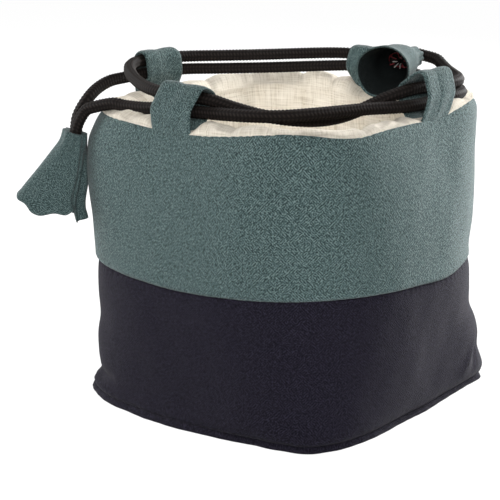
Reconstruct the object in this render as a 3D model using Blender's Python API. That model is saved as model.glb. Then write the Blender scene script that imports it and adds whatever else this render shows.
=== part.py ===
"""Padded drawstring storage bag, built as it is sewn.

A square base and a tube of two cloth bands make the outside. Batting and a quilted lining fill it,
and the lining rolls over the rim. Four cloth straps stand from the rim seam. Two cords run through
all four straps, and each has both its ends in a flared cloth pull.

Metres, +Z up. The origin is the centre of the base's underside. The base's sides lie along X and Y.
The left cord's tail hangs outside the -X -Y corner, and the right cord's is turned in over the mouth
from the +X +Y corner.
"""

import math

import bmesh
import bpy
import numpy as np
from mathutils import Vector

# Outside shape: width across the sides at the widest height, and the heights of the seams
WIDEST_WIDTH = 0.1454
RIM_HEIGHT = 0.1208
BAND_SEAM_HEIGHT = 0.0606
BASE_SEAM_HEIGHT = 0.0040
RIM_TILT = 0.0015
RIM_TILT_TOWARDS = math.radians(50)

# Each row: share of the rim height, share of half the widest width, squareness of the section
BODY_SHARES = [
    (0.000, 0.940, 4.8),
    (0.033, 0.955, 4.5),
    (0.083, 0.957, 4.1),
    (0.165, 0.962, 3.75),
    (0.250, 0.971, 3.35),
    (0.330, 0.980, 3.05),
    (0.506, 1.000, 2.75),
    (0.710, 0.997, 3.0),
    (0.880, 0.970, 3.4),
    (1.000, 0.919, 4.3),
]
SEGMENTS = 72

# Cloth and padding
CLOTH_THICKNESS = 0.0008
LINING_THICKNESS = 0.0007
BATTING_THICKNESS = 0.0046
BASE_BATTING_THICKNESS = 0.0047
FIT_GAP = 0.0003
SEAM_TUCK = 0.0007
QUILT_CHANNELS = 18
QUILT_DEPTH = 0.0013
ROLL_HEIGHT = 0.0024
ROLL_SHOULDER = 0.0016

# Base: where its flat underside ends, inside the wall's own outline
BASE_FLAT_INSET = 0.0015

# Straps
STRAP_WIDTH = 0.0200
STRAP_THICKNESS = 0.0013
STRAP_TONGUE = 0.0036
STRAP_FOOT = 0.0013
STRAP_SKEW_START = 0.0030
CROWN_RADIUS = 0.0032
NOTCH_REACH = 0.0030

# Cords
CORD_DIAMETER = 0.0050
CORD_POINT_SPACING = 0.0105
CORD_END_GAP = 0.0004
CORD_END_STRAIGHT = 0.0013

# Cloth pulls on the cords' ends
PULL_LENGTH = 0.0400
PULL_CLOTH = 0.0009
PULL_CORD_DEPTH = 0.0110
LEFT_MOUTH_WIDTH = 0.0290
LEFT_MOUTH_DEPTH = 0.0140
RIGHT_MOUTH_WIDTH = 0.0215
RIGHT_MOUTH_DEPTH = 0.0200
BINDING_LENGTH = 0.0030
BINDING_THICKNESS = 0.0007
BINDING_SETBACK = 0.0070

# Where each tail flexes: its two cord ends' centres there, then the neck and mouth of its pull
LEFT_FLEX_A = (-0.0604, -0.0569, 0.1254)
LEFT_FLEX_B = (-0.0563, -0.0610, 0.1254)
LEFT_NECK = (-0.0630, -0.0650, 0.1135)
LEFT_MOUTH_CENTRE = (-0.0697, -0.0712, 0.0792)
RIGHT_FLEX_A = (0.0319, 0.0635, 0.1394)
RIGHT_FLEX_B = (0.0261, 0.0625, 0.1394)
RIGHT_NECK = (0.0300, 0.0572, 0.1392)
RIGHT_MOUTH_CENTRE = (0.0335, 0.0178, 0.1382)

# Cord routes, from flex point B to flex point A for the left cord and from A to B for the right
LEFT_CORD_ROUTE = [
    (-0.0500, -0.0603, 0.1251),
    (-0.0430, -0.0592, 0.1248),
    (-0.0370, -0.0586, 0.1249),
    (-0.0270, -0.0581, 0.1254),
    (-0.0170, -0.0577, 0.1261),
    (-0.0065, -0.0575, 0.1263),
    (0.0040, -0.0575, 0.1265),
    (0.0160, -0.0574, 0.1269),
    (0.0270, -0.0548, 0.1271),
    (0.0360, -0.0493, 0.1273),
    (0.0425, -0.0395, 0.1275),
    (0.0470, -0.0280, 0.1275),
    (0.0510, -0.0160, 0.1274),
    (0.0545, -0.0070, 0.1271),
    (0.0572, 0.0010, 0.1269),
    (0.0583, 0.0100, 0.1268),
    (0.0587, 0.0200, 0.1269),
    (0.0588, 0.0300, 0.1274),
    (0.0570, 0.0390, 0.1281),
    (0.0515, 0.0480, 0.1283),
    (0.0430, 0.0545, 0.1287),
    (0.0330, 0.0585, 0.1298),
    (0.0230, 0.0595, 0.1313),
    (0.0140, 0.0588, 0.1322),
    (0.0040, 0.0578, 0.1327),
    (-0.0050, 0.0560, 0.1327),
    (-0.0130, 0.0510, 0.1325),
    (-0.0235, 0.0405, 0.1322),
    (-0.0360, 0.0255, 0.1321),
    (-0.0470, 0.0115, 0.1323),
    (-0.0545, 0.0010, 0.1326),
    (-0.0585, -0.0080, 0.1327),
    (-0.0596, -0.0170, 0.1327),
    (-0.0600, -0.0250, 0.1326),
    (-0.0610, -0.0340, 0.1321),
    (-0.0615, -0.0420, 0.1315),
    (-0.0612, -0.0500, 0.1292),
]
RIGHT_CORD_ROUTE = [
    (0.0380, 0.0640, 0.1390),
    (0.0413, 0.0618, 0.1377),
    (0.0438, 0.0586, 0.1362),
    (0.0480, 0.0525, 0.1344),
    (0.0530, 0.0455, 0.1336),
    (0.0563, 0.0375, 0.1332),
    (0.0568, 0.0290, 0.1329),
    (0.0560, 0.0190, 0.1327),
    (0.0543, 0.0090, 0.1324),
    (0.0512, 0.0010, 0.1306),
    (0.0468, -0.0055, 0.1278),
    (0.0432, -0.0135, 0.1250),
    (0.0412, -0.0240, 0.1238),
    (0.0378, -0.0335, 0.1238),
    (0.0315, -0.0415, 0.1247),
    (0.0230, -0.0475, 0.1263),
    (0.0135, -0.0515, 0.1286),
    (0.0040, -0.0538, 0.1309),
    (-0.0065, -0.0553, 0.1317),
    (-0.0170, -0.0562, 0.1321),
    (-0.0265, -0.0548, 0.1327),
    (-0.0360, -0.0507, 0.1336),
    (-0.0450, -0.0452, 0.1349),
    (-0.0530, -0.0388, 0.1364),
    (-0.0582, -0.0320, 0.1376),
    (-0.0603, -0.0240, 0.1382),
    (-0.0602, -0.0150, 0.1382),
    (-0.0585, -0.0055, 0.1382),
    (-0.0540, 0.0045, 0.1380),
    (-0.0465, 0.0150, 0.1377),
    (-0.0360, 0.0290, 0.1375),
    (-0.0240, 0.0445, 0.1373),
    (-0.0150, 0.0548, 0.1372),
    (-0.0070, 0.0600, 0.1370),
    (0.0030, 0.0616, 0.1370),
    (0.0120, 0.0616, 0.1374),
    (0.0188, 0.0615, 0.1385),
]

NAVY = ("navy_cloth", (0.030, 0.028, 0.048), 0.92)
TEAL = ("teal_cloth", (0.105, 0.185, 0.190), 0.90)
CREAM = ("cream_linen", (0.760, 0.700, 0.580), 0.90)
WADDING = ("wadding", (0.850, 0.840, 0.800), 0.95)
CORD_BROWN = ("cord", (0.020, 0.014, 0.012), 0.75)
THREAD = ("thread", (0.350, 0.050, 0.050), 0.80)


def clear_scene():
    for obj in list(bpy.data.objects):
        bpy.data.objects.remove(obj, do_unlink=True)


def material(spec):
    name, colour, roughness = spec
    mat = bpy.data.materials.get(name)
    if mat is None:
        mat = bpy.data.materials.new(name)
        mat.use_nodes = True
        shader = mat.node_tree.nodes["Principled BSDF"]
        shader.inputs["Base Color"].default_value = (*colour, 1.0)
        shader.inputs["Roughness"].default_value = roughness
        shader.inputs["Metallic"].default_value = 0.0
    return mat


def add_object(name, bm, spec):
    bmesh.ops.recalc_face_normals(bm, faces=bm.faces)
    mesh = bpy.data.meshes.new(name)
    bm.to_mesh(mesh)
    bm.free()
    mesh.shade_smooth()
    mesh.set_sharp_from_angle(angle=math.radians(40))
    mesh.materials.append(material(spec))
    obj = bpy.data.objects.new(name, mesh)
    bpy.context.scene.collection.objects.link(obj)
    return obj


def catmull_rom(table, x):
    """Value row of a table at x, on a smooth curve through its rows. The first column is x."""
    xs = [row[0] for row in table]
    x = min(max(x, xs[0]), xs[-1])
    k = min(max(np.searchsorted(xs, x) - 1, 0), len(xs) - 2)
    span = xs[k + 1] - xs[k]
    t = (x - xs[k]) / span
    values = []
    for column in range(1, len(table[0])):
        v = [row[column] for row in table]
        slope = []
        for i in (k, k + 1):
            lo, hi = max(i - 1, 0), min(i + 1, len(xs) - 1)
            slope.append((v[hi] - v[lo]) / (xs[hi] - xs[lo]) * span)
        values.append(
            (2 * t**3 - 3 * t**2 + 1) * v[k]
            + (t**3 - 2 * t**2 + t) * slope[0]
            + (3 * t**2 - 2 * t**3) * v[k + 1]
            + (t**3 - t**2) * slope[1]
        )
    return values


def body_section(z):
    share, squareness = catmull_rom(BODY_SHARES, z / RIM_HEIGHT)
    return share * WIDEST_WIDTH / 2, squareness


def rim_lift(angle):
    return RIM_TILT * math.cos(angle - RIM_TILT_TOWARDS)


def lift(z, angle):
    """The mouth tilts a little: the wall above the band seam follows the rim."""
    share = (z - BAND_SEAM_HEIGHT) / (RIM_HEIGHT - BAND_SEAM_HEIGHT)
    share = min(max(share, 0.0), 1.0)
    return rim_lift(angle) * share * share * (3 - 2 * share)


def crease(angle):
    """1 on a quilting line, 0 in the middle of a channel."""
    return (0.5 + 0.5 * math.cos(QUILT_CHANNELS * angle)) ** 2


def wall_ring(inset, z, quilted=0.0):
    """A ring of points inside the wall's outline at height z. Quilting lines draw it outwards and down."""
    half, squareness = body_section(z)
    points = []
    for i in range(SEGMENTS):
        angle = 2 * math.pi * i / SEGMENTS
        c, s = abs(math.cos(angle)), abs(math.sin(angle))
        draw = quilted * QUILT_DEPTH * crease(angle)
        radius = (half - inset + draw) / (c**squareness + s**squareness) ** (1 / squareness)
        over_rim = max(z - RIM_HEIGHT, 0.0) / ROLL_HEIGHT
        height = z + lift(z, angle) - over_rim * draw
        points.append(Vector((radius * math.cos(angle), radius * math.sin(angle), height)))
    return points


def loft(name, rings, spec, closed):
    """Joins rings of points in order. A closed loft is a tube, an open one has a flat lid at each end.

    Every cell is split the same way, so that cloth layers lying close together keep their distance.
    """
    bm = bmesh.new()
    rows = [[bm.verts.new(p) for p in ring] for ring in rings]
    pairs = list(zip(rows, rows[1:]))
    if closed:
        pairs.append((rows[-1], rows[0]))
    count = len(rows[0])
    for low, high in pairs:
        rising = high[0].co.z >= low[0].co.z
        for i in range(count):
            j = (i + 1) % count
            if rising:
                bm.faces.new((low[i], low[j], high[j]))
                bm.faces.new((low[i], high[j], high[i]))
            else:
                bm.faces.new((low[i], low[j], high[i]))
                bm.faces.new((low[j], high[j], high[i]))
    if not closed:
        bm.faces.new(rows[0])
        bm.faces.new(rows[-1])
    return add_object(name, bm, spec)


# Rows of a band, as shares of its height, and the share of the seam's tuck that each one takes
BAND_ROW_SHARES = [(0.0, 1.0), (0.06, 0.25), (0.30, 0.0), (0.70, 0.0), (0.94, 0.25), (1.0, 1.0)]


def band_rows(low, high, low_tuck, high_tuck):
    """Height and tuck of each row of a band. Its edges turn in at the seams."""
    rows = []
    for share, tuck in BAND_ROW_SHARES:
        rows.append((low + (high - low) * share, tuck * (low_tuck if share < 0.5 else high_tuck)))
    return rows


def lower_band_rows():
    low = BASE_SEAM_HEIGHT + FIT_GAP
    return band_rows(low, BAND_SEAM_HEIGHT - FIT_GAP / 2, SEAM_TUCK, SEAM_TUCK)


def upper_band_rows():
    return band_rows(BAND_SEAM_HEIGHT + FIT_GAP / 2, RIM_HEIGHT, SEAM_TUCK, 0.0)


def band(name, rows, spec):
    outer = [wall_ring(tuck, z) for z, tuck in rows]
    inner = [wall_ring(tuck + CLOTH_THICKNESS, z) for z, tuck in rows]
    return loft(name, outer + inner[::-1], spec, closed=True)


def make_outer_bands():
    band("outer_lower_panel", lower_band_rows(), NAVY)
    band("outer_upper_panel", upper_band_rows(), TEAL)


def make_base_panel():
    """A shallow cloth pan: flat underneath, its edge turned up to the base seam."""
    thick = CLOTH_THICKNESS
    rings = [
        wall_ring(BASE_FLAT_INSET, 0.0),
        wall_ring(SEAM_TUCK, BASE_SEAM_HEIGHT / 4),
        wall_ring(0.0, BASE_SEAM_HEIGHT / 2),
        wall_ring(SEAM_TUCK, BASE_SEAM_HEIGHT),
        wall_ring(SEAM_TUCK + thick, BASE_SEAM_HEIGHT),
        wall_ring(thick + FIT_GAP, BASE_SEAM_HEIGHT / 2),
        wall_ring(BASE_FLAT_INSET + thick, thick),
    ]
    loft("base_panel", rings, NAVY, closed=False)


def base_layer_heights():
    """Bottom and top of the base batting, and of the lining's floor."""
    batting_low = CLOTH_THICKNESS + FIT_GAP
    batting_high = batting_low + BASE_BATTING_THICKNESS
    lining_low = batting_high + FIT_GAP
    return batting_low, batting_high, lining_low, lining_low + LINING_THICKNESS


def batting_inset():
    return CLOTH_THICKNESS + FIT_GAP


def lining_inset():
    return batting_inset() + BATTING_THICKNESS + FIT_GAP


def make_base_layers():
    low, high, lining_low, lining_high = base_layer_heights()
    edge = BASE_FLAT_INSET + CLOTH_THICKNESS + FIT_GAP
    middle = (low + high) / 2
    rings = [wall_ring(edge + FIT_GAP, low), wall_ring(edge, middle), wall_ring(edge + FIT_GAP, high)]
    loft("base_batting", rings, WADDING, closed=False)
    edge = lining_inset() + LINING_THICKNESS + FIT_GAP
    rings = [wall_ring(edge, lining_low, 1.0), wall_ring(edge, lining_high, 1.0)]
    loft("lining_base", rings, CREAM, closed=False)


def make_wall_layers():
    """Batting in quilted channels, and the lining that covers it and rolls over the rim."""
    bottom = base_layer_heights()[2]
    row_shares = (0.0, 0.10, 0.35, 0.62, 0.84, 0.965)
    shell_rows = [row for row in lower_band_rows() + upper_band_rows() if bottom < row[0] < RIM_HEIGHT]
    outer = batting_inset()
    inner = outer + BATTING_THICKNESS
    heights = [bottom + (RIM_HEIGHT - bottom) * share for share in row_shares]
    skin = LINING_THICKNESS
    shoulder = ROLL_SHOULDER
    middle = (outer + inner) / 2
    crest = RIM_HEIGHT + ROLL_HEIGHT - skin - FIT_GAP
    batting = [wall_ring(outer + SEAM_TUCK, bottom)]
    batting += [wall_ring(outer + tuck, z) for z, tuck in shell_rows]
    batting += [
        wall_ring(outer + FIT_GAP, RIM_HEIGHT - FIT_GAP),
        wall_ring(outer + shoulder - skin, (RIM_HEIGHT + crest) / 2, 0.5),
        wall_ring(middle, crest, 1.0),
        wall_ring(inner - shoulder + skin, (RIM_HEIGHT + crest) / 2, 1.0),
    ]
    batting += [wall_ring(inner, z, 1.0) for z in heights[::-1]]
    loft("wall_batting", batting, WADDING, closed=True)
    gap = FIT_GAP
    top = RIM_HEIGHT + ROLL_HEIGHT
    hem = RIM_HEIGHT + gap
    inside = inner + gap
    lining = [wall_ring(inside, z, 1.0) for z in heights]
    lining += [
        wall_ring(inside - shoulder + skin, (hem + crest) / 2 + gap, 1.0),
        wall_ring(middle, crest + gap, 1.0),
        wall_ring(outer + shoulder - skin - gap, (hem + crest) / 2 + gap, 0.5),
        wall_ring(outer, hem),
        wall_ring(outer - skin, hem),
        wall_ring(outer - skin + shoulder / 2, (hem + top) / 2 + gap, 0.5),
        wall_ring(middle, top, 1.0),
        wall_ring(inside + skin - shoulder / 2, (hem + top) / 2 + gap, 1.0),
    ]
    lining += [wall_ring(inside + skin, z, 1.0) for z in heights[::-1]]
    loft("lining_wall", lining, CREAM, closed=True)


def smooth_path(route, spacing):
    """Evenly spaced points on a smooth curve through a route's own points."""
    points = [Vector(p) for p in route]
    padded = [2 * points[0] - points[1]] + points + [2 * points[-1] - points[-2]]
    fine = []
    steps = 12
    for p0, p1, p2, p3 in zip(padded, padded[1:], padded[2:], padded[3:]):
        for k in range(steps):
            t = k / steps
            fine.append(
                0.5
                * (
                    2 * p1
                    + (p2 - p0) * t
                    + (2 * p0 - 5 * p1 + 4 * p2 - p3) * t**2
                    + (3 * p1 - p0 - 3 * p2 + p3) * t**3
                )
            )
    fine.append(points[-1])
    travelled = [0.0]
    for a, b in zip(fine, fine[1:]):
        travelled.append(travelled[-1] + (b - a).length)
    count = max(round(travelled[-1] / spacing), 2)
    places = np.linspace(0.0, travelled[-1], count + 1)
    columns = [np.interp(places, travelled, [p[axis] for p in fine]) for axis in range(3)]
    return [Vector(p) for p in zip(*columns)]


def cord(name, path, spec, domed_start=False):
    """A round cord along a path. A domed start turns about its first point without catching."""
    radius = CORD_DIAMETER / 2
    stations = [(p, 1.0) for p in path]
    if domed_start:
        forward = (path[1] - path[0]).normalized()
        dome = [(0.97, 0.24), (0.80, 0.60), (0.45, 0.89)]
        stations = [(path[0] - forward * radius * back, size) for back, size in dome] + stations
    curve = bpy.data.curves.new(name, "CURVE")
    curve.dimensions = "3D"
    curve.bevel_depth = radius
    curve.bevel_resolution = 3
    curve.use_fill_caps = True
    spline = curve.splines.new("POLY")
    spline.points.add(len(stations) - 1)
    for point, (place, size) in zip(spline.points, stations):
        point.co = (*place, 1.0)
        point.radius = size
    spline.use_smooth = True
    curve.materials.append(material(spec))
    obj = bpy.data.objects.new(name, curve)
    bpy.context.scene.collection.objects.link(obj)
    return obj


def drawstring_path(route, start_flex, end_flex, along_hinge):
    """Path of a drawstring between its flex points, with a short straight end before each of them."""
    path = smooth_path(route, CORD_POINT_SPACING)
    hinge = (Vector(end_flex) - Vector(start_flex)).normalized()
    ends = []
    for flex, near, outward in ((start_flex, path[0], -hinge), (end_flex, path[-1], hinge)):
        away = outward if along_hinge else (near - Vector(flex)).normalized()
        clear = CORD_DIAMETER / 2 + CORD_END_GAP
        ends.append([Vector(flex) + away * (clear + extra) for extra in (0.0, CORD_END_STRAIGHT)])
    return ends[0] + path + ends[1][::-1]


def left_path():
    return drawstring_path(LEFT_CORD_ROUTE, LEFT_FLEX_B, LEFT_FLEX_A, False)


def right_path():
    return drawstring_path(RIGHT_CORD_ROUTE, RIGHT_FLEX_A, RIGHT_FLEX_B, True)


def side_frame(side):
    """Inward and along directions of a wall's side, and its middle at the rim."""
    inward, along = {
        "front": (Vector((0, 1, 0)), Vector((1, 0, 0))),
        "right": (Vector((-1, 0, 0)), Vector((0, 1, 0))),
        "back": (Vector((0, -1, 0)), Vector((1, 0, 0))),
        "left": (Vector((1, 0, 0)), Vector((0, 1, 0))),
    }[side]
    half = body_section(RIM_HEIGHT)[0]
    return inward, along, -inward * half


def crossings(path, side, places):
    """Inset and height of a cord where it passes given places along a side."""
    inward, along, middle = side_frame(side)
    found = []
    for a, b in zip(path, path[1:]):
        if ((a + b) / 2 - middle).dot(inward) > WIDEST_WIDTH / 4:
            continue
        for place in places:
            sa, sb = a.dot(along) - place, b.dot(along) - place
            if sa * sb <= 0 and sa != sb:
                p = a.lerp(b, sa / (sa - sb))
                found.append(((p - middle).dot(inward), p.z))
    return found


def convex_outline(points):
    """The convex outline of 2-D points, anticlockwise."""
    points = sorted(set(points))
    chains = []
    for ordered in (points, points[::-1]):
        chain = []
        for p in ordered:
            while len(chain) > 1:
                (ax, ay), (bx, by) = chain[-2], chain[-1]
                if (bx - ax) * (p[1] - ay) - (by - ay) * (p[0] - ax) > 0:
                    break
                chain.pop()
            chain.append(p)
        chains.append(chain[:-1])
    return chains[0] + chains[1]


def circle(centre, radius, count=16):
    turn = [2 * math.pi * k / count for k in range(count)]
    return [(centre[0] + radius * math.cos(t), centre[1] + radius * math.sin(t)) for t in turn]


def strap_lay(side, place):
    """Height of the rim where a strap stands, and its two legs' insets in the seam."""
    inward, along, middle = side_frame(side)
    foot = middle + along * place
    rim = RIM_HEIGHT + rim_lift(math.atan2(foot.y, foot.x))
    outer_leg = batting_inset() + STRAP_THICKNESS / 2
    inner_leg = outer_leg + STRAP_THICKNESS + FIT_GAP
    return rim, outer_leg, inner_leg


def strap_line(side, place, top_place, crown):
    """Middle line of a strap, as (inset, height): up one leg, round the cords, down the other."""
    rim, outer_leg, inner_leg = strap_lay(side, place)
    reach = STRAP_WIDTH / 2
    places = [spot + step for spot in {place, top_place} for step in (-reach, 0.0, reach)]
    clear = CORD_DIAMETER / 2 + 2 * FIT_GAP + STRAP_THICKNESS / 2
    foot = rim + STRAP_FOOT
    points = [(outer_leg, foot), (inner_leg, foot)]
    for path in (left_path(), right_path()):
        for centre in crossings(path, side, places):
            points += [(x, max(y, foot)) for x, y in circle(centre, clear)]
    points += circle(crown, CROWN_RADIUS)
    outline = convex_outline(points)
    start = min(range(len(outline)), key=lambda i: (outline[i][1], outline[i][0]))
    ring = outline[start:] + outline[:start]
    body = [p for p in ring if p[1] > foot + FIT_GAP or p[0] > inner_leg + FIT_GAP]
    legs_low = rim - STRAP_TONGUE
    line = [(inner_leg, legs_low), (inner_leg, foot)] + body + [(outer_leg, foot), (outer_leg, legs_low)]
    skew_low = rim + STRAP_SKEW_START
    full = line[:1]
    for (ax, ay), (bx, by) in zip(line, line[1:]):
        if (ay - skew_low) * (by - skew_low) < 0:
            full.append((ax + (bx - ax) * (skew_low - ay) / (by - ay), skew_low))
        full.append((bx, by))
    return full


def strap(name, side, place, top_place, crown):
    """A folded cloth strap stood on edge in the rim seam. Its crown is drawn along the rim by the cords."""
    inward, along, middle = side_frame(side)
    rim, outer_leg, inner_leg = strap_lay(side, place)
    line = strap_line(side, place, top_place, crown)
    offsets = []
    for k, p in enumerate(line):
        before, after = line[max(k - 1, 0)], line[min(k + 1, len(line) - 1)]
        direction = Vector((after[0] - before[0], after[1] - before[1])).normalized()
        offsets.append(Vector((direction.y, -direction.x)) * STRAP_THICKNESS / 2)
    top = crown[1] + CROWN_RADIUS
    skew_low = rim + STRAP_SKEW_START
    bm = bmesh.new()
    stations = []
    for edge in (-STRAP_WIDTH / 2, STRAP_WIDTH / 2):
        rows = []
        for sign in (1, -1):
            row = []
            for (inset, height), offset in zip(line, offsets):
                share = min(max((height - skew_low) / (top - skew_low), 0.0), 1.0)
                shift = (top_place - place) * share
                flat = Vector((inset, height)) + offset * sign
                spot = middle + inward * flat.x + along * (place + edge + shift)
                row.append(bm.verts.new((spot.x, spot.y, flat.y)))
            rows.append(row)
        stations.append(rows)
    (a_out, a_in), (b_out, b_in) = stations
    for k in range(len(line) - 1):
        bm.faces.new((a_out[k], a_out[k + 1], b_out[k + 1], b_out[k]))
        bm.faces.new((a_in[k], b_in[k], b_in[k + 1], a_in[k + 1]))
        bm.faces.new((a_out[k], a_in[k], a_in[k + 1], a_out[k + 1]))
        bm.faces.new((b_out[k], b_out[k + 1], b_in[k + 1], b_in[k]))
    bm.faces.new((a_out[0], b_out[0], b_in[0], a_in[0]))
    bm.faces.new((a_out[-1], a_in[-1], b_in[-1], b_out[-1]))
    return add_object(name, bm, TEAL)


def notch(name, side, place):
    """The room that a strap's legs take in the rolled rim, used to cut the batting and the lining."""
    inward, along, middle = side_frame(side)
    rim, outer_leg, inner_leg = strap_lay(side, place)
    pocket = inner_leg + STRAP_THICKNESS / 2 + FIT_GAP
    window = lining_inset() + LINING_THICKNESS + NOTCH_REACH
    low = rim - STRAP_TONGUE - FIT_GAP
    floor = rim + STRAP_FOOT - STRAP_THICKNESS / 2 - FIT_GAP
    high = rim + 2 * ROLL_HEIGHT
    outline = [
        (-NOTCH_REACH, low),
        (pocket, low),
        (pocket, floor),
        (window, floor),
        (window, high),
        (-NOTCH_REACH, high),
    ]
    half = STRAP_WIDTH / 2 + FIT_GAP
    rings = []
    for edge in (-half, half):
        spots = [middle + inward * inset + along * (place + edge) for inset, height in outline]
        rings.append([Vector((s.x, s.y, height)) for s, (inset, height) in zip(spots, outline)])
    cutter = loft(name, rings, WADDING, closed=False)
    cutter.hide_render = True
    cutter.display_type = "WIRE"
    return cutter


STRAPS = {
    "loop_front": ("front", -0.0065, -0.0065, (0.0098, 0.1326)),
    "loop_right": ("right", 0.0100, 0.0180, (0.0090, 0.1364)),
    "loop_back": ("back", 0.0050, 0.0020, (0.0070, 0.1374)),
    "loop_left": ("left", -0.0110, -0.0145, (0.0070, 0.1389)),
}


def make_straps():
    for name, (side, place, top_place, crown) in STRAPS.items():
        strap(name, side, place, top_place, crown)
        cutter = notch("notch_" + side, side, place)
        for target in ("wall_batting", "lining_wall"):
            cut = bpy.data.objects[target].modifiers.new("notch_" + side, "BOOLEAN")
            cut.operation = "DIFFERENCE"
            cut.solver = "EXACT"
            cut.object = cutter


def pull_frame(neck, mouth, flex_a, flex_b):
    """Axis of a pull from neck to mouth, the direction across its two cords, and the third."""
    axis = (Vector(mouth) - Vector(neck)).normalized()
    across = Vector(flex_b) - Vector(flex_a)
    across = (across - axis * across.dot(axis)).normalized()
    return axis, across, axis.cross(across)


def oval(centre, side_a, size_a, side_b, size_b):
    points = []
    for k in range(PULL_SEGMENTS):
        t = 2 * math.pi * k / PULL_SEGMENTS
        c, s = math.cos(t), math.sin(t)
        radius = (abs(c) ** PULL_SQUARENESS + abs(s) ** PULL_SQUARENESS) ** (-1 / PULL_SQUARENESS)
        points.append(centre + side_a * (size_a * radius * c) + side_b * (size_b * radius * s))
    return points


# Share of the pull's length, and how far its section has opened from neck to mouth there
PULL_SQUARENESS = 3.2
PULL_SEGMENTS = 24
PULL_FLARE_SHARES = [(0.0, 0.0), (0.10, 0.05), (0.25, 0.20), (0.45, 0.46), (0.70, 0.78), (1.0, 1.0)]


def pull(name, neck, mouth, flex_a, flex_b, mouth_across, mouth_other):
    """A flared bell of cloth, drawn in round the two cord ends at its neck and open at its mouth."""
    axis, across, other = pull_frame(neck, mouth, flex_a, flex_b)
    grip = 3 * FIT_GAP + BINDING_THICKNESS + PULL_CLOTH
    neck_across = CORD_DIAMETER + FIT_GAP / 2 + grip
    neck_other = CORD_DIAMETER / 2 + grip
    outer = []
    inner = []
    for along, opened in PULL_FLARE_SHARES:
        centre = Vector(neck) + axis * PULL_LENGTH * along
        size_across = neck_across + (mouth_across / 2 - neck_across) * opened
        size_other = neck_other + (mouth_other / 2 - neck_other) * opened
        outer.append(oval(centre, across, size_across, other, size_other))
        inner.append(oval(centre, across, size_across - PULL_CLOTH, other, size_other - PULL_CLOTH))
    loft(name, outer + inner[::-1], TEAL, closed=True)


def tail(side, neck, mouth, flex_a, flex_b):
    """The two cord ends of one drawstring: from where they flex to the neck, then into the pull."""
    axis, across, other = pull_frame(neck, mouth, flex_a, flex_b)
    half = (CORD_DIAMETER + FIT_GAP) / 2
    for letter, flex, sign in (("a", flex_a, -1), ("b", flex_b, 1)):
        start = Vector(flex)
        entry = Vector(neck) + across * half * sign
        end = entry - (entry - start).normalized() * (CORD_DIAMETER / 2 + CORD_END_GAP)
        cord(f"{side}_cord_end_{letter}", [start, start.lerp(end, 0.5), end], CORD_BROWN, domed_start=True)
        tip = [entry, entry + axis * PULL_CORD_DEPTH / 2, entry + axis * PULL_CORD_DEPTH]
        cord(f"{side}_cord_tip_{letter}", tip, CORD_BROWN, domed_start=True)
    rings = []
    for inset in (FIT_GAP * 3 / 2, FIT_GAP * 3 / 2 + BINDING_THICKNESS):
        for along in (BINDING_SETBACK, BINDING_SETBACK + BINDING_LENGTH):
            centre = Vector(neck) + axis * along
            wide = CORD_DIAMETER + FIT_GAP / 2 + inset
            deep = CORD_DIAMETER / 2 + inset
            rings.append(oval(centre, across, wide, other, deep))
    loft(f"{side}_pull_binding", [rings[0], rings[1], rings[3], rings[2]], THREAD, closed=True)


def make_tails():
    left = (LEFT_NECK, LEFT_MOUTH_CENTRE, LEFT_FLEX_A, LEFT_FLEX_B)
    right = (RIGHT_NECK, RIGHT_MOUTH_CENTRE, RIGHT_FLEX_A, RIGHT_FLEX_B)
    pull("left_pull", *left, LEFT_MOUTH_DEPTH, LEFT_MOUTH_WIDTH)
    pull("right_pull", *right, RIGHT_MOUTH_WIDTH, RIGHT_MOUTH_DEPTH)
    tail("left", *left)
    tail("right", *right)


def make_drawstrings():
    cord("left_drawstring", left_path(), CORD_BROWN)
    cord("right_drawstring", right_path(), CORD_BROWN)


clear_scene()
make_base_panel()
make_outer_bands()
make_base_layers()
make_wall_layers()
make_drawstrings()
make_straps()
make_tails()
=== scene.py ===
import math

import bmesh
import bpy
import numpy as np
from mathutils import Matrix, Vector


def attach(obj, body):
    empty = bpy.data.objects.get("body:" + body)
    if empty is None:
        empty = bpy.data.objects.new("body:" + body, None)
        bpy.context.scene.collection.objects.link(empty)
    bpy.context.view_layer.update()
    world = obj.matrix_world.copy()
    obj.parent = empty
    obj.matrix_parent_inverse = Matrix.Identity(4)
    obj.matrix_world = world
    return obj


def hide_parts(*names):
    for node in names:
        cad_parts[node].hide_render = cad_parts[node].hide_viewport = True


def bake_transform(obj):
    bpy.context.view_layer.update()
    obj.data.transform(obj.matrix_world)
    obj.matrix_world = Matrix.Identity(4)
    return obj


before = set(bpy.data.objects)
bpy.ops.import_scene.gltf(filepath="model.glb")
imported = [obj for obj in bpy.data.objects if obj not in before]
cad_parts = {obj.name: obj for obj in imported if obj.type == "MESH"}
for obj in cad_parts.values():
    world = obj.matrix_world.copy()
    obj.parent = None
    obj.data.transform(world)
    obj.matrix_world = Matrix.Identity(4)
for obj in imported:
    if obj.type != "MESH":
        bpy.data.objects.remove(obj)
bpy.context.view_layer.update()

# Camera: a little above the rim, looking at the corner between the front and right sides
# with a long lens, so that both sides show at about the same width.

camera_data = bpy.data.cameras.new("camera")
camera_data.lens = 102.97
camera_data.sensor_width = 36
camera = bpy.data.objects.new("camera", camera_data)
bpy.context.scene.collection.objects.link(camera)
camera.location = (0.35844, -0.47300, 0.21402)
camera.rotation_euler = Vector((-0.60433, 0.75586, -0.25193)).to_track_quat("-Z", "Y").to_euler()
bpy.context.scene.camera = camera

# Drawstrings: two round braided cords of dark brown polyester. Each one runs through all four
# straps, and both its ends come out together at one corner. The left one's hang outside the bag,
# and the right one's are turned in over the mouth.

CORD_DIAMETER = 0.0050
BRAID_COLUMNS = 8
BRAID_PITCH = 0.00150
BRAID_RELIEF = 0.00030
NECK_HALF = 0.00265

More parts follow.
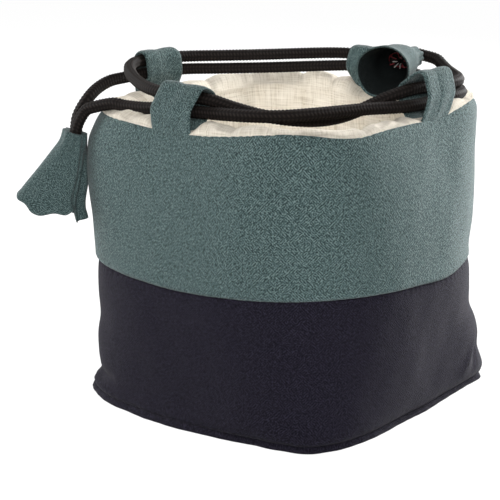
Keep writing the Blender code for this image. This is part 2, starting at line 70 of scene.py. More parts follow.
LEFT_FLEX_A = (-0.0604, -0.0569, 0.1254)
LEFT_FLEX_B = (-0.0563, -0.0610, 0.1254)
LEFT_NECK = (-0.0630, -0.0650, 0.1135)
LEFT_MOUTH_CENTRE = (-0.0697, -0.0712, 0.0792)
RIGHT_FLEX_A = (0.0243, 0.0631, 0.1394)
RIGHT_FLEX_B = (0.0192, 0.0615, 0.1394)
RIGHT_NECK = (0.0235, 0.0565, 0.1390)
RIGHT_MOUTH_CENTRE = (0.0325, 0.0221, 0.1364)

LEFT_CORD_ROUTE = [
    (-0.0498, -0.0606, 0.1258), (-0.0430, -0.0594, 0.1258), (-0.0370, -0.0586, 0.1253),
    (-0.0270, -0.0581, 0.1254), (-0.0170, -0.0577, 0.1261), (-0.0065, -0.0575, 0.1263),
    (0.0040, -0.0575, 0.1265), (0.0160, -0.0574, 0.1269), (0.0270, -0.0548, 0.1271),
    (0.0360, -0.0493, 0.1273), (0.0425, -0.0395, 0.1275), (0.0470, -0.0280, 0.1275),
    (0.0510, -0.0160, 0.1274), (0.0545, -0.0070, 0.1271), (0.0572, 0.0010, 0.1269),
    (0.0583, 0.0100, 0.1268), (0.0587, 0.0200, 0.1269), (0.0588, 0.0300, 0.1274),
    (0.0590, 0.0375, 0.1275), (0.0572, 0.0445, 0.1276), (0.0520, 0.0510, 0.1278),
    (0.0440, 0.0555, 0.1283), (0.0330, 0.0585, 0.1298), (0.0230, 0.0597, 0.1313),
    (0.0140, 0.0593, 0.1322), (0.0040, 0.0587, 0.1326), (-0.0050, 0.0577, 0.1326),
    (-0.0130, 0.0540, 0.1323), (-0.0235, 0.0435, 0.1321), (-0.0360, 0.0280, 0.1321),
    (-0.0480, 0.0130, 0.1323), (-0.0558, 0.0020, 0.1326), (-0.0592, -0.0075, 0.1327),
    (-0.0600, -0.0170, 0.1327), (-0.0600, -0.0250, 0.1326), (-0.0610, -0.0340, 0.1321),
    (-0.0615, -0.0420, 0.1315), (-0.0612, -0.0500, 0.1292),
]
RIGHT_CORD_ROUTE = [
    (0.0330, 0.0632, 0.1379), (0.0380, 0.0605, 0.1360), (0.0430, 0.0568, 0.1344),
    (0.0490, 0.0518, 0.1335), (0.0543, 0.0465, 0.1331), (0.0576, 0.0405, 0.1330),
    (0.0582, 0.0345, 0.1330), (0.0574, 0.0275, 0.1329), (0.0560, 0.0190, 0.1327),
    (0.0543, 0.0090, 0.1324), (0.0512, 0.0010, 0.1306), (0.0468, -0.0055, 0.1278),
    (0.0432, -0.0135, 0.1250), (0.0412, -0.0240, 0.1238), (0.0378, -0.0335, 0.1238),
    (0.0315, -0.0415, 0.1247), (0.0230, -0.0475, 0.1263), (0.0135, -0.0515, 0.1286),
    (0.0040, -0.0538, 0.1309), (-0.0065, -0.0553, 0.1317), (-0.0170, -0.0562, 0.1321),
    (-0.0265, -0.0548, 0.1327), (-0.0360, -0.0507, 0.1336), (-0.0450, -0.0452, 0.1349),
    (-0.0530, -0.0388, 0.1364), (-0.0582, -0.0320, 0.1376), (-0.0603, -0.0240, 0.1382),
    (-0.0602, -0.0150, 0.1382), (-0.0590, -0.0055, 0.1382), (-0.0553, 0.0045, 0.1380),
    (-0.0475, 0.0155, 0.1378), (-0.0362, 0.0300, 0.1377), (-0.0245, 0.0455, 0.1377),
    (-0.0160, 0.0560, 0.1376), (-0.0080, 0.0607, 0.1374), (0.0010, 0.0618, 0.1373),
    (0.0070, 0.0612, 0.1380),
]


def add_node(tree, kind, inputs=None, **settings):
    """A shader node with its settings and inputs. An input that is a socket is linked."""
    made = tree.nodes.new(kind)
    for key, value in settings.items():
        setattr(made, key, value)
    for key, value in (inputs or {}).items():
        if isinstance(value, bpy.types.NodeSocket):
            tree.links.new(value, made.inputs[key])
        else:
            made.inputs[key].default_value = value
    return made


def mixed(tree, share, first, second):
    """Colour mix of two colours or sockets by a share."""
    return add_node(tree, "ShaderNodeMix", {0: share, 6: first, 7: second}, data_type="RGBA").outputs[2]


def reckon(tree, kind, first, second=0.0):
    return add_node(tree, "ShaderNodeMath", {0: first, 1: second}, operation=kind).outputs[0]


def weighted(tree, first, share, second):
    """The share of the first value and the rest of the second one."""
    rest = reckon(tree, "MULTIPLY", second, 1 - share)
    return reckon(tree, "ADD", reckon(tree, "MULTIPLY", first, share), rest)


def graded(tree, value, stops):
    """Grey value through a ramp of (place, colour) stops."""
    ramp = add_node(tree, "ShaderNodeValToRGB", {"Fac": value})
    elements = ramp.color_ramp.elements
    elements[0].position, elements[0].color = stops[0]
    elements[1].position, elements[1].color = stops[-1]
    for place, colour in stops[1:-1]:
        elements.new(place).color = colour
    return ramp.outputs["Color"]


def noise(tree, place, size, detail=2.0, roughness=0.5):
    return add_node(tree, "ShaderNodeTexNoise", {
        "Vector": place, "Scale": size, "Detail": detail, "Roughness": roughness}).outputs["Fac"]


def stretched_noise(tree, place, scale, size, detail=2.0):
    """Noise on a stretched place, for threads that run one way."""
    drawn = add_node(tree, "ShaderNodeMapping", {"Vector": place, "Scale": scale}).outputs[0]
    return noise(tree, drawn, size, detail)


def plain_shader(name, roughness, sheen, sheen_roughness=0.5, specular=0.2):
    """An empty cloth-like material, and its tree and shader."""
    material = bpy.data.materials.new(name)
    material.use_nodes = True
    shader = material.node_tree.nodes["Principled BSDF"]
    shader.inputs["Roughness"].default_value = roughness
    shader.inputs["Sheen Weight"].default_value = sheen
    shader.inputs["Sheen Roughness"].default_value = sheen_roughness
    shader.inputs["Specular IOR Level"].default_value = specular
    return material, material.node_tree, shader


def roughen(tree, shader, height, distance, strength=1.0):
    bump = add_node(tree, "ShaderNodeBump", {"Height": height, "Distance": distance, "Strength": strength})
    tree.links.new(bump.outputs["Normal"], shader.inputs["Normal"])


def braided_cord_material():
    material, tree, shader = plain_shader("braided_cord", 0.70, 0.0, 0.4, 0.10)
    place = add_node(tree, "ShaderNodeUVMap", uv_map="cloth").outputs["UV"]
    groove = add_node(tree, "ShaderNodeAttribute", attribute_name="relief").outputs["Fac"]
    fibre = stretched_noise(tree, place, (9.0, 2.0, 1.0), 6.0, 3.0)
    worn = noise(tree, place, 0.8)
    # Painted shade and highlight: the braid's grooves are drawn darker and its raised stitches lighter, by
    # the braid's height
    braid_shade_and_highlight = graded(tree, groove, [(0.0, (0.0011, 0.0009, 0.0007, 1)), (0.45, (0.0043, 0.0031, 0.0027, 1)),
                                   (1.0, (0.0271, 0.0207, 0.0183, 1))])
    lit = mixed(tree, reckon(tree, "MULTIPLY", fibre, 0.35), braid_shade_and_highlight, (0.0143, 0.0114, 0.0100, 1))
    lit = mixed(tree, reckon(tree, "MULTIPLY", worn, 0.25), lit, (0.0114, 0.0079, 0.0069, 1))
    tree.links.new(lit, shader.inputs["Base Color"])
    roughen(tree, shader, fibre, 0.0002, 0.6)
    return material


def flat_cut(across, along, place_columns=None, place_rows=None):
    """A flat cut of cloth as a grid of points, with a UV map that keeps each place in the cloth.

    place_columns and place_rows move even shares to where the grid's lines have to fall.
    """
    cut = bmesh.new()
    kept = cut.loops.layers.uv.new("cloth")
    bmesh.ops.create_grid(cut, x_segments=across, y_segments=along, size=0.5, calc_uvs=True)
    for axis, place in enumerate((place_columns, place_rows)):
        if place:
            for vert in cut.verts:
                vert.co[axis] = float(place(vert.co[axis] + 0.5)) - 0.5
    for face in cut.faces:
        for loop in face.loops:
            loop[kept].uv = loop.vert.co.xy + Vector((0.5, 0.5))
    return cut


def laid_over(name, cut, form, cloth_size, material, closed=False, relief=None):
    """Lays a flat cut over a form, which turns places across and along it into points in space.

    cloth_size is the cut's width and length in metres: its UV map is in centimetres, so that every
    weave has its real scale. Edges that meet are sewn, and a closed piece has its ends filled.
    """
    mesh = bpy.data.meshes.new(name)
    cut.to_mesh(mesh)
    cut.free()
    flat = np.empty(len(mesh.vertices) * 3)
    mesh.vertices.foreach_get("co", flat)
    flat = flat.reshape(-1, 3) + 0.5
    points = form(flat[:, 0], flat[:, 1])
    mesh.vertices.foreach_set("co", np.asarray(points, dtype=np.float64).ravel())
    if relief is not None:
        kept = mesh.attributes.new("relief", "FLOAT", "POINT")
        kept.data.foreach_set("value", np.asarray(relief(flat[:, 0], flat[:, 1]), dtype=np.float32))
    places = np.empty(len(mesh.loops) * 2)
    mesh.uv_layers["cloth"].uv.foreach_get("vector", places)
    places = places.reshape(-1, 2) * np.array(cloth_size) * 100
    mesh.uv_layers["cloth"].uv.foreach_set("vector", places.ravel())
    sewn = bmesh.new()
    sewn.from_mesh(mesh)
    bmesh.ops.remove_doubles(sewn, verts=sewn.verts, dist=1e-6)
    if closed:
        bmesh.ops.holes_fill(sewn, edges=sewn.edges)
        bmesh.ops.recalc_face_normals(sewn, faces=sewn.faces)
    sewn.to_mesh(mesh)
    sewn.free()
    mesh.shade_smooth()
    mesh.materials.append(material)
    piece = bpy.data.objects.new(name, mesh)
    bpy.context.scene.collection.objects.link(piece)
    return piece


def thickened(piece, name, thickness):
    thick = piece.modifiers.new(name, "SOLIDIFY")
    thick.thickness = thickness
    thick.offset = -1.0


def read_off(values, stations, places):
    """Rows of values between the stations, at given places along them."""
    return np.column_stack([np.interp(places, stations, values[:, k]) for k in range(values.shape[1])])


def smooth_line(places, spacing):
    """Evenly spaced points on a smooth curve through the given ones, as an array."""
    p = np.array(places, dtype=float)
    p = np.vstack([2 * p[0] - p[1], p, 2 * p[-1] - p[-2]])
    t = np.linspace(0, 1, 24, endpoint=False)[:, None]
    fine = []
    for a, b, c, d in zip(p, p[1:], p[2:], p[3:]):
        fine.append(0.5 * (2 * b + (c - a) * t + (2 * a - 5 * b + 4 * c - d) * t**2
                           + (3 * b - a - 3 * c + d) * t**3))
    fine = np.vstack(fine + [p[-2:-1]])
    travelled = np.concatenate([[0], np.cumsum(np.linalg.norm(np.diff(fine, axis=0), axis=1))])
    count = max(int(round(travelled[-1] / spacing)), 2)
    even = np.linspace(0, travelled[-1], count + 1)
    return read_off(fine, travelled, even)


def line_length(line):
    return float(np.linalg.norm(np.diff(line, axis=0), axis=1).sum())


def turning_frames(line):
    """Direction of a line at each of its points, and two directions across it that don't twist."""
    ahead = np.gradient(line, axis=0)
    ahead /= np.linalg.norm(ahead, axis=1)[:, None]
    side = np.cross(ahead[0], (0.0, 0.0, 1.0))
    if np.linalg.norm(side) < 0.1:
        side = np.cross(ahead[0], (1.0, 0.0, 0.0))
    sides = [side / np.linalg.norm(side)]
    for direction in ahead[1:]:
        side = sides[-1] - direction * np.dot(sides[-1], direction)
        sides.append(side / np.linalg.norm(side))
    sides = np.array(sides)
    return ahead, sides, np.cross(ahead, sides)


def braid_height(around, along):
    """Height of the braid, 0 to 1: columns of stitches that lean left and right by turns."""
    column = around * BRAID_COLUMNS
    within = column - np.floor(column) - 0.5
    lean = np.where(np.floor(column).astype(int) % 2 == 0, 1.0, -1.0)
    stitch = 0.5 + 0.5 * np.cos(2 * np.pi * (along / BRAID_PITCH + 0.62 * lean * within))
    crown = np.cos(np.pi * within) ** 0.6
    return crown * (0.25 + 0.75 * stitch)


def cord_piece(name, route, material, round_start=True, round_end=True):
    """A braided cord along a route, and the line that it follows."""
    line = smooth_line(route, 0.00019)
    radius = CORD_DIAMETER / 2
    length = line_length(line)
    ahead, side, over = turning_frames(line)
    before = radius if round_start else 0.0
    after = radius if round_end else 0.0
    stations = np.linspace(0.0, length, len(line))

    def at(along):
        travelled = along * (length + before + after) - before
        return travelled, np.clip(travelled, 0.0, length)

    def form(around, along):
        travelled, on_line = at(along)
        beyond = np.abs(travelled - on_line)
        swell = np.sqrt(np.clip(1 - (beyond / radius) ** 2, 0.0004, 1.0))
        reach = (radius - BRAID_RELIEF + BRAID_RELIEF * 1.25 * braid_height(around, travelled)) * swell
        angle = 2 * np.pi * around
        centre, sideways, upwards, forward = (
            read_off(values, stations, on_line) for values in (line, side, over, ahead))
        return (centre + forward * (travelled - on_line)[:, None]
                + sideways * (reach * np.cos(angle))[:, None] + upwards * (reach * np.sin(angle))[:, None])

    rows = max(int((length + before + after) / BRAID_PITCH * 6), 12)
    piece = laid_over(name, flat_cut(BRAID_COLUMNS * 5, rows), form,
                      (math.pi * CORD_DIAMETER, length + before + after), material, closed=True,
                      relief=lambda around, along: braid_height(around, at(along)[0]))
    return piece, line


def neck_places(neck, flex_a, flex_b, mouth):
    """Axis of a pull, the direction across its two cord ends, and where the ends enter its neck."""
    axis = (Vector(mouth) - Vector(neck)).normalized()
    across = Vector(flex_b) - Vector(flex_a)
    across = (across - axis * across.dot(axis)).normalized()
    return axis, across, Vector(neck) - across * NECK_HALF, Vector(neck) + across * NECK_HALF


def cord_tips(side, axis, enter_a, enter_b):
    """The two cord ends inside a pull."""
    tips = []
    for letter, enter in (("a", enter_a), ("b", enter_b)):
        route = [enter + axis * step for step in (0.0, 0.004, 0.0075, 0.011)]
        tip, _ = cord_piece(f"{side}_tip_{letter}", route, cord_material)
        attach(tip, f"{side}_tassel")
        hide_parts(f"{side}_cord_tip_{letter}")
        tips.append(tip)
    return tips


cord_material = braided_cord_material()
outward_corner = Vector((-1, -1, 0)).normalized()

# The front strand of the left pair hangs a little lower over the corner than the other one
left_axis, left_across, left_enter_a, left_enter_b = neck_places(
    LEFT_NECK, LEFT_FLEX_A, LEFT_FLEX_B, LEFT_MOUTH_CENTRE)
# The neck hangs this far to the bag's side of the axis
left_aside = left_axis.cross(left_across) * -0.0026
left_enter_a, left_enter_b = left_enter_a + left_aside, left_enter_b + left_aside
left_bend = (-0.0556, -0.0622, 0.1222)
left_route = [left_enter_b, Vector(left_enter_b).lerp(Vector(left_bend), 0.5) + outward_corner * 0.0008,
              left_bend, (-0.0510, -0.0612, 0.1240), *LEFT_CORD_ROUTE[1:], LEFT_FLEX_A,
              Vector(left_enter_a).lerp(Vector(LEFT_FLEX_A), 0.5) + outward_corner * 0.0012, left_enter_a]
left_drawstring_piece, left_line = cord_piece("left_braid", left_route, cord_material)
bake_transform(left_drawstring_piece)
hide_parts("left_drawstring", "left_cord_end_a", "left_cord_end_b")
left_tips = cord_tips("left", left_axis, left_enter_a, left_enter_b)

right_axis, right_across, right_enter_a, right_enter_b = neck_places(
    RIGHT_NECK, RIGHT_FLEX_A, RIGHT_FLEX_B, RIGHT_MOUTH_CENTRE)
right_drawstring_piece, right_line = cord_piece(
    "right_braid", [RIGHT_FLEX_A, *RIGHT_CORD_ROUTE, RIGHT_FLEX_B], cord_material)
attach(right_drawstring_piece, "bag")
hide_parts("right_drawstring")
for letter, flex, enter in (("a", RIGHT_FLEX_A, right_enter_a), ("b", RIGHT_FLEX_B, right_enter_b)):
    route = [flex, Vector(flex).lerp(enter, 0.5), enter]
    strand, _ = cord_piece(f"right_strand_{letter}", route, cord_material)
    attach(strand, "right_tail")
    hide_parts(f"right_cord_end_{letter}")
right_tips = cord_tips("right", right_axis, right_enter_a, right_enter_b)

# Outer bands: one strip of navy cloth below and one of teal above, woven alike in a broken
# diagonal pattern. They are sewn together at half height, and the wadding behind rounds them out.

RIM_HEIGHT = 0.1208
BAND_SEAM_HEIGHT = 0.0606
WALL_FOOT = 0.0028
WIDEST_WIDTH = 0.1454
CLOTH_THICKNESS = 0.0008

# Share of the rim height, share of half the widest width, squareness of the section
BODY_SHARES = [
    (0.000, 0.940, 4.8), (0.033, 0.955, 4.5), (0.083, 0.957, 4.1), (0.165, 0.962, 3.75),
    (0.250, 0.971, 3.35), (0.330, 0.980, 3.05), (0.506, 1.000, 2.75), (0.710, 0.997, 3.0),
    (0.880, 0.970, 3.4), (1.000, 0.919, 4.3),
]

# Real heights of the rim and the band seam by the angle round the bag, in degrees and millimetres
RIM_BY_ANGLE = [
    (-170, 120.4), (-150, 120.9), (-135, 121.0), (-118, 120.6), (-102, 119.3), (-85, 119.0), (-74, 120.0),
    (-64, 121.6), (-52, 123.3), (-46, 123.0), (-40, 121.8), (-31, 121.0), (-25, 121.6), (-6, 122.0),
    (14, 121.7), (24, 123.7), (33, 125.0), (45, 124.6), (60, 122.6), (86, 121.6), (110, 122.6),
    (135, 123.6), (160, 121.8),
]
SEAM_BY_ANGLE = [
    (-170, 60.2), (-135, 59.9), (-110, 59.3), (-91, 58.3), (-70, 59.2), (-45, 60.6), (-25, 60.2), (-6, 58.8),
    (11, 57.5), (22, 58.9), (45, 60.2), (90, 59.6), (135, 60.4),
]

# Distance from the axis of the two corners that show from the side, by height, in millimetres
LEFT_CORNER = [
    (1.3, 83.1), (2.6, 83.5), (5.0, 82.8), (6.9, 80.6), (9.0, 80.2), (17.0, 80.9), (27.0, 80.9), (33.0, 79.9),
    (44.0, 80.3), (56.0, 80.5), (67.0, 81.4), (78.0, 82.0), (88.0, 83.0), (103.0, 83.2), (110.6, 82.1),
    (115.0, 80.3), (121.0, 77.5),
]
RIGHT_CORNER = [
    (1.3, 85.5), (7.0, 86.9), (11.0, 85.6), (16.0, 83.9), (23.5, 83.7), (30.0, 82.1), (34.0, 80.3),
    (45.0, 79.2), (57.0, 78.6), (62.0, 78.0), (75.0, 79.4), (87.0, 79.8), (105.0, 79.8), (115.0, 80.2),
    (121.0, 79.9), (125.0, 79.1),
]
CORNERS = [(-135, LEFT_CORNER), (40, RIGHT_CORNER)]
CORNER_SPREAD = 14.0

# Where the wall meets the table, distance from the axis by angle, in degrees and millimetres
FLOOR_OUTLINE = [
    (-165, 70.7), (-150, 77.7), (-138, 83.7), (-130, 82.2), (-123, 80.35), (-117, 78.1), (-111, 75.6),
    (-104, 74.2), (-98, 72.8), (-92, 72.3), (-86, 71.8), (-81, 71.6), (-76, 72.15), (-71, 73.1), (-66, 74.2),
    (-61, 75.8), (-57, 78.4), (-53, 80.2), (-49, 82.7), (-46, 83.4), (-42, 82.4), (-37, 80.7), (-33, 78.5),
    (-27, 75.4), (-20, 72.0), (-12, 68.9), (-4, 67.6), (5, 68.05), (15, 69.3), (25, 72.9), (34, 78.8),
    (42, 86.4), (48, 86.4), (60, 77.7), (75, 70.7), (90, 68.3), (105, 70.7), (120, 77.7), (135, 83.6),
    (150, 77.7), (165, 70.7), (180, 68.3),
]
FLOOR_REACH = 0.006

# Soft forms of the wall: angle and height of the middle, their spreads, and the push, degrees and mm
WALL_FORMS = [
    (-100, 30.0, 16.0, 12.0, 0.7),
    (-62, 22.0, 14.0, 10.0, -0.5),
    (-12, 26.0, 16.0, 12.0, 0.6),
    (20, 34.0, 12.0, 10.0, -0.5),
    (-85, 92.0, 18.0, 14.0, 0.5),
    (-20, 96.0, 14.0, 12.0, 0.5),
    (8, 104.0, 10.0, 8.0, -0.6),
    (150, 80.0, 20.0, 20.0, 0.8),
    (100, 30.0, 18.0, 14.0, -0.7),
    (180, 34.0, 16.0, 12.0, 0.7),
]

# Creases: angle and height of both ends, then half width and push, degrees and mm
WALL_CREASES = [
    (-139, 6.9, -122, 10.8, 2.2, -1.9),
    (34, 22.5, 26, 10.5, 2.4, 0.9),
    (38, 25.0, 31, 9.0, 2.0, -0.9),
    (-146, 7.0, -160, 9.0, 2.4, -1.2),
    (128, 8.0, 146, 7.0, 2.6, -1.4),
]
ARC_PER_DEGREE = 1.3


def smooth_rows(rows, x):
    """Values of a table at each x, on smooth curves through its rows. The first column is x."""
    rows = np.array(rows, dtype=float)
    xs = rows[:, 0]
    x = np.clip(x, xs[0], xs[-1])
    k = np.clip(np.searchsorted(xs, x) - 1, 0, len(xs) - 2)
    span = xs[k + 1] - xs[k]
    t = (x - xs[k]) / span
    slopes = np.gradient(rows[:, 1:], xs, axis=0)
    found = []
    for column in range(rows.shape[1] - 1):
        v, s = rows[:, column + 1], slopes[:, column]
        found.append((2 * t**3 - 3 * t**2 + 1) * v[k] + (t**3 - 2 * t**2 + t) * s[k] * span
                     + (3 * t**2 - 2 * t**3) * v[k + 1] + (t**3 - t**2) * s[k + 1] * span)
    return found


def degrees_from(angle, middle):
    """Signed degrees from a middle angle, the short way round."""
    return (np.degrees(angle) - middle + 180) % 360 - 180


def round_the_bag(rows, angle):
    """Value by angle of a table that closes on itself, in metres from millimetres."""
    wrapped = [(a - 360, v) for a, v in rows] + list(rows) + [(a + 360, v) for a, v in rows]
    return smooth_rows(wrapped, degrees_from(angle, 0.0))[0] / 1000


def soft_waves(angle, z, size):
    """Slow unevenness of hand-filled cloth, the same at every run."""
    wave = 0.0
    for turns, rises, start in ((3, 31, 0.4), (5, 47, 2.1), (7, -38, 4.0), (11, 66, 1.3), (13, -84, 5.2),
                                (23, 120, 0.7), (31, -170, 2.9)):
        wave = wave + np.sin(turns * angle + rises * z + start) / (1 + turns / 6)
    return wave * size


def real_height(angle, z):
    """Height of a place as sewn, after the seam and the rim have sagged or risen."""
    seam = round_the_bag(SEAM_BY_ANGLE, angle) - BAND_SEAM_HEIGHT
    rim = round_the_bag(RIM_BY_ANGLE, angle) - RIM_HEIGHT
    below = np.clip(z / BAND_SEAM_HEIGHT, 0, 1)
    above = np.clip((z - BAND_SEAM_HEIGHT) / (RIM_HEIGHT - BAND_SEAM_HEIGHT), 0, 1)
    return z + seam * below**2 * (1 - above) + rim * above**1.5


def plain_radius(angle, z):
    share, squareness = smooth_rows(BODY_SHARES, z / RIM_HEIGHT)
    half = share * WIDEST_WIDTH / 2
    spread = np.abs(np.cos(angle)) ** squareness + np.abs(np.sin(angle)) ** squareness
    return half / spread ** (1 / squareness)


def crease_push(angle, z, start, low, end, high, half_width, push):
    """Push of a crease that runs straight between two places of the wall."""
    arc, up = degrees_from(angle, start) * ARC_PER_DEGREE, z * 1000 - low
    run, climb = (end - start) * ARC_PER_DEGREE, high - low
    share = np.clip((arc * run + up * climb) / (run**2 + climb**2), 0, 1)
    away = (arc - run * share) ** 2 + (up - climb * share) ** 2
    return push / 1000 * np.exp(-away / half_width**2) * (0.35 + 0.65 * np.sin(np.pi * share))


def wall_radius(angle, z):
    """Distance of the outside wall from the axis, by angle and by height as sewn."""
    radius = plain_radius(angle, z)
    height = real_height(angle, z)
    for middle, table in CORNERS:
        at_corner = smooth_rows(table, height * 1000)[0] / 1000 - plain_radius(math.radians(middle), z)
        radius = radius + at_corner * np.exp(-(degrees_from(angle, middle) / CORNER_SPREAD) ** 2)
    near_floor = np.exp(-(z / FLOOR_REACH) ** 2)
    radius = radius + (round_the_bag(FLOOR_OUTLINE, angle) - radius) * near_floor
    for middle, low, spread, tall, push in WALL_FORMS:
        off = degrees_from(angle, middle)
        radius = radius + push / 1000 * np.exp(-(off / spread) ** 2 - ((z * 1000 - low) / tall) ** 2)
    for crease in WALL_CREASES:
        radius = radius + crease_push(angle, z, *crease)
    calm = np.clip(z / 0.012, 0, 1) * np.clip((RIM_HEIGHT - z) / 0.010, 0.15, 1)
    return radius + soft_waves(angle, z, 0.00022) * calm


def wall_point(angle, z, inset=0.0):
    radius = wall_radius(angle, z) - inset
    return np.column_stack([radius * np.cos(angle), radius * np.sin(angle), real_height(angle, z)])


def broken_twill(name, dark, middle, light, sheen, mottle):
    """Cloth woven in short crossing diagonals that change direction from patch to patch."""
    material, tree, shader = plain_shader(name, 0.92, sheen, 0.4, 0.10)
    flat = add_node(tree, "ShaderNodeUVMap", uv_map="cloth").outputs["UV"]
    stray = add_node(tree, "ShaderNodeTexNoise", {
        "Vector": flat, "Scale": 4.0, "Detail": 2.0}).outputs["Color"]
    moved = add_node(tree, "ShaderNodeVectorMath", {0: stray, "Scale": 0.07}, operation="SCALE").outputs[0]
    place = add_node(tree, "ShaderNodeVectorMath", {0: flat, 1: moved}, operation="ADD").outputs[0]
    strokes = []
    for lean in (1.0, -1.0):
        turned = add_node(tree, "ShaderNodeMapping", {
            "Vector": place, "Rotation": (0, 0, lean * math.radians(46))}, vector_type="TEXTURE").outputs[0]
        rib = add_node(tree, "ShaderNodeTexWave", {"Vector": turned, "Scale": 4.0}, wave_type="BANDS",
                       bands_direction="Y").outputs["Fac"]
        broken = stretched_noise(tree, turned, (9.0, 19.0, 1.0), 1.0, 1.0)
        strokes.append(weighted(tree, rib, 0.20, broken))
    patch = add_node(tree, "ShaderNodeTexVoronoi", {"Vector": place, "Scale": 6.5, "Randomness": 0.9})
    turn = reckon(tree, "GREATER_THAN", add_node(tree, "ShaderNodeSeparateColor",
                                                {"Color": patch.outputs["Color"]}).outputs[0], 0.5)
    stroke = add_node(tree, "ShaderNodeMix", {0: turn, 2: strokes[0], 3: strokes[1]},
                      data_type="FLOAT").outputs[0]
    nub = noise(tree, flat, 20.0, 1.0, 0.5)
    height = weighted(tree, stroke, 0.62, nub)
    thread = graded(tree, height, [(0.385, dark), (0.49, middle), (0.61, light)])
    shade = mixed(tree, reckon(tree, "MULTIPLY", noise(tree, flat, 0.22, 3.0), mottle), thread, middle)
    tree.links.new(shade, shader.inputs["Base Color"])
    roughen(tree, shader, height, 0.0005, 0.8)
    return material


teal_cloth = broken_twill("teal_twill", (0.0129, 0.0229, 0.0243, 1), (0.0486, 0.0800, 0.0800, 1),
                          (0.1514, 0.2086, 0.2057, 1), 0.15, 0.15)
navy_cloth = broken_twill("navy_twill", (0.0020, 0.0016, 0.0037, 1), (0.0077, 0.0067, 0.0120, 1),
                          (0.0271, 0.0243, 0.0400, 1), 0.04, 0.3)


def denser_ends(share):
    """Moves even shares towards both ends, where the cloth turns in at its seams."""
    return share - 0.72 * np.sin(2 * np.pi * share) / (2 * np.pi)


def outer_band(name, low, high, low_turn, high_turn, material, node):
    """One strip of cloth round the wall, turned in at both its seams and puckered a little there.

    low_turn and high_turn are (depth, width) pairs: how far the cloth turns in and over what height.
    """
    def form(around, along):
        angle = 2 * np.pi * (around - 0.375)
        z = low + (high - low) * along
        to_low, to_high = z - low, high - z
        inset = 0.0
        for distance, turns in ((to_low, low_turn), (to_high, high_turn)):
            for depth, width in turns:
                inset = inset + depth * np.exp(-(distance / width) ** 1.4)
        near_edge = np.exp(-(np.minimum(to_low, to_high) / 0.0030) ** 2)
        pucker = np.sin(angle * 138 + 3 * np.sin(angle * 7) + 2 * np.sin(angle * 17)) * near_edge
        return wall_point(angle, z, inset + pucker * 0.00012)

    piece = laid_over(name, flat_cut(540, 72, place_rows=denser_ends), form, (0.475, high - low), material)
    thickened(piece, "cloth", CLOTH_THICKNESS)
    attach(piece, "bag")
    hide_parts(node)


outer_band("navy_band", WALL_FOOT, BAND_SEAM_HEIGHT - 0.0003, [(0.0011, 0.0009)],
           [(0.0011, 0.0042), (0.0006, 0.0008)], navy_cloth, "outer_lower_panel")
outer_band("teal_band", BAND_SEAM_HEIGHT - 0.0006, RIM_HEIGHT, [(-0.0003, 0.0040), (0.0012, 0.0007)],
           [(0.0010, 0.0016)], teal_cloth, "outer_upper_panel")

# Base: a square of the same navy cloth, flat where it stands. Its edge rounds up under the wall
# to a seam just above the table, where it shows as a thin dark strip.


def spread_square(across, along):
    """Places on a square cut as an angle and a share of the way out to the edge."""
    x, y = 2 * across - 1, 2 * along - 1
    return np.arctan2(y, x), np.maximum(np.abs(x), np.abs(y))


def base_form(across, along):
    angle, out = spread_square(1 - across, along)
    edge = wall_radius(angle, 0.0 * angle + 0.0008)
    gathers = np.sin(angle * 61 + 2 * np.sin(angle * 11)) * 0.00018
    turn = np.clip((out - 0.95) / 0.05, 0, 1)
    rounded_edge = edge - 0.0006 + 0.0010 * np.sin(np.pi * turn**0.7) - 0.0009 * turn**3 + gathers * turn
    radius = np.where(turn > 0, rounded_edge, (edge - 0.0006) * out / 0.95)
    height = (WALL_FOOT + 0.0004) * (1 - np.cos(np.pi * turn / 2))
    hollow = 0.0003 * (1 - out**4) * (1 + np.sin(9 * across) * np.sin(8 * along + 1)) / 2
    return np.column_stack([radius * np.cos(angle), radius * np.sin(angle), height + hollow])


base_cloth = laid_over("base_cloth", flat_cut(120, 120), base_form, (0.142, 0.142), navy_cloth)
thickened(base_cloth, "cloth", CLOTH_THICKNESS)
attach(base_cloth, "bag")
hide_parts("base_panel")

# Wadding: soft white polyester between the outside and the lining, a flat square in the base and
# one long strip round the wall. It is caught by the quilting and fills the roll over the rim.

QUILT_LINES = [-131, -113, -92, -70, -51, -29, -9, 12, 33, 52, 71, 91, 106, 121, 140, 162, 185, 208, 229]
WADDING_BOTTOM = 0.0063


def quilting(angle, sharpness=0.62):
    """1 in the middle of a quilted channel, 0 on its lines, with a sharp valley between puffs."""
    degrees = (np.degrees(angle) - QUILT_LINES[0]) % 360 + QUILT_LINES[0]
    lines = np.array(QUILT_LINES, dtype=float)
    k = np.clip(np.searchsorted(lines, degrees) - 1, 0, len(lines) - 2)
    t = (degrees - lines[k]) / (lines[k + 1] - lines[k])
    return np.abs(np.sin(np.pi * np.clip(t, 0, 1))) ** sharpness


def felted_wadding():
    material, tree, shader = plain_shader("wadding_felt", 0.97, 0.4, 0.6, 0.05)
    place = add_node(tree, "ShaderNodeTexCoord").outputs["Object"]
    clump = noise(tree, place, 160.0, 5.0)
    hair = stretched_noise(tree, place, (1.0, 1.0, 5.0), 900.0, 3.0)
    shade = graded(tree, clump, [(0.25, (0.66, 0.65, 0.62, 1)), (0.7, (0.86, 0.86, 0.84, 1))])
    tree.links.new(mixed(tree, reckon(tree, "MULTIPLY", hair, 0.4), shade, (0.93, 0.93, 0.92, 1)),
                   shader.inputs["Base Color"])
    roughen(tree, shader, reckon(tree, "ADD", clump, hair), 0.0008, 0.8)
    return material


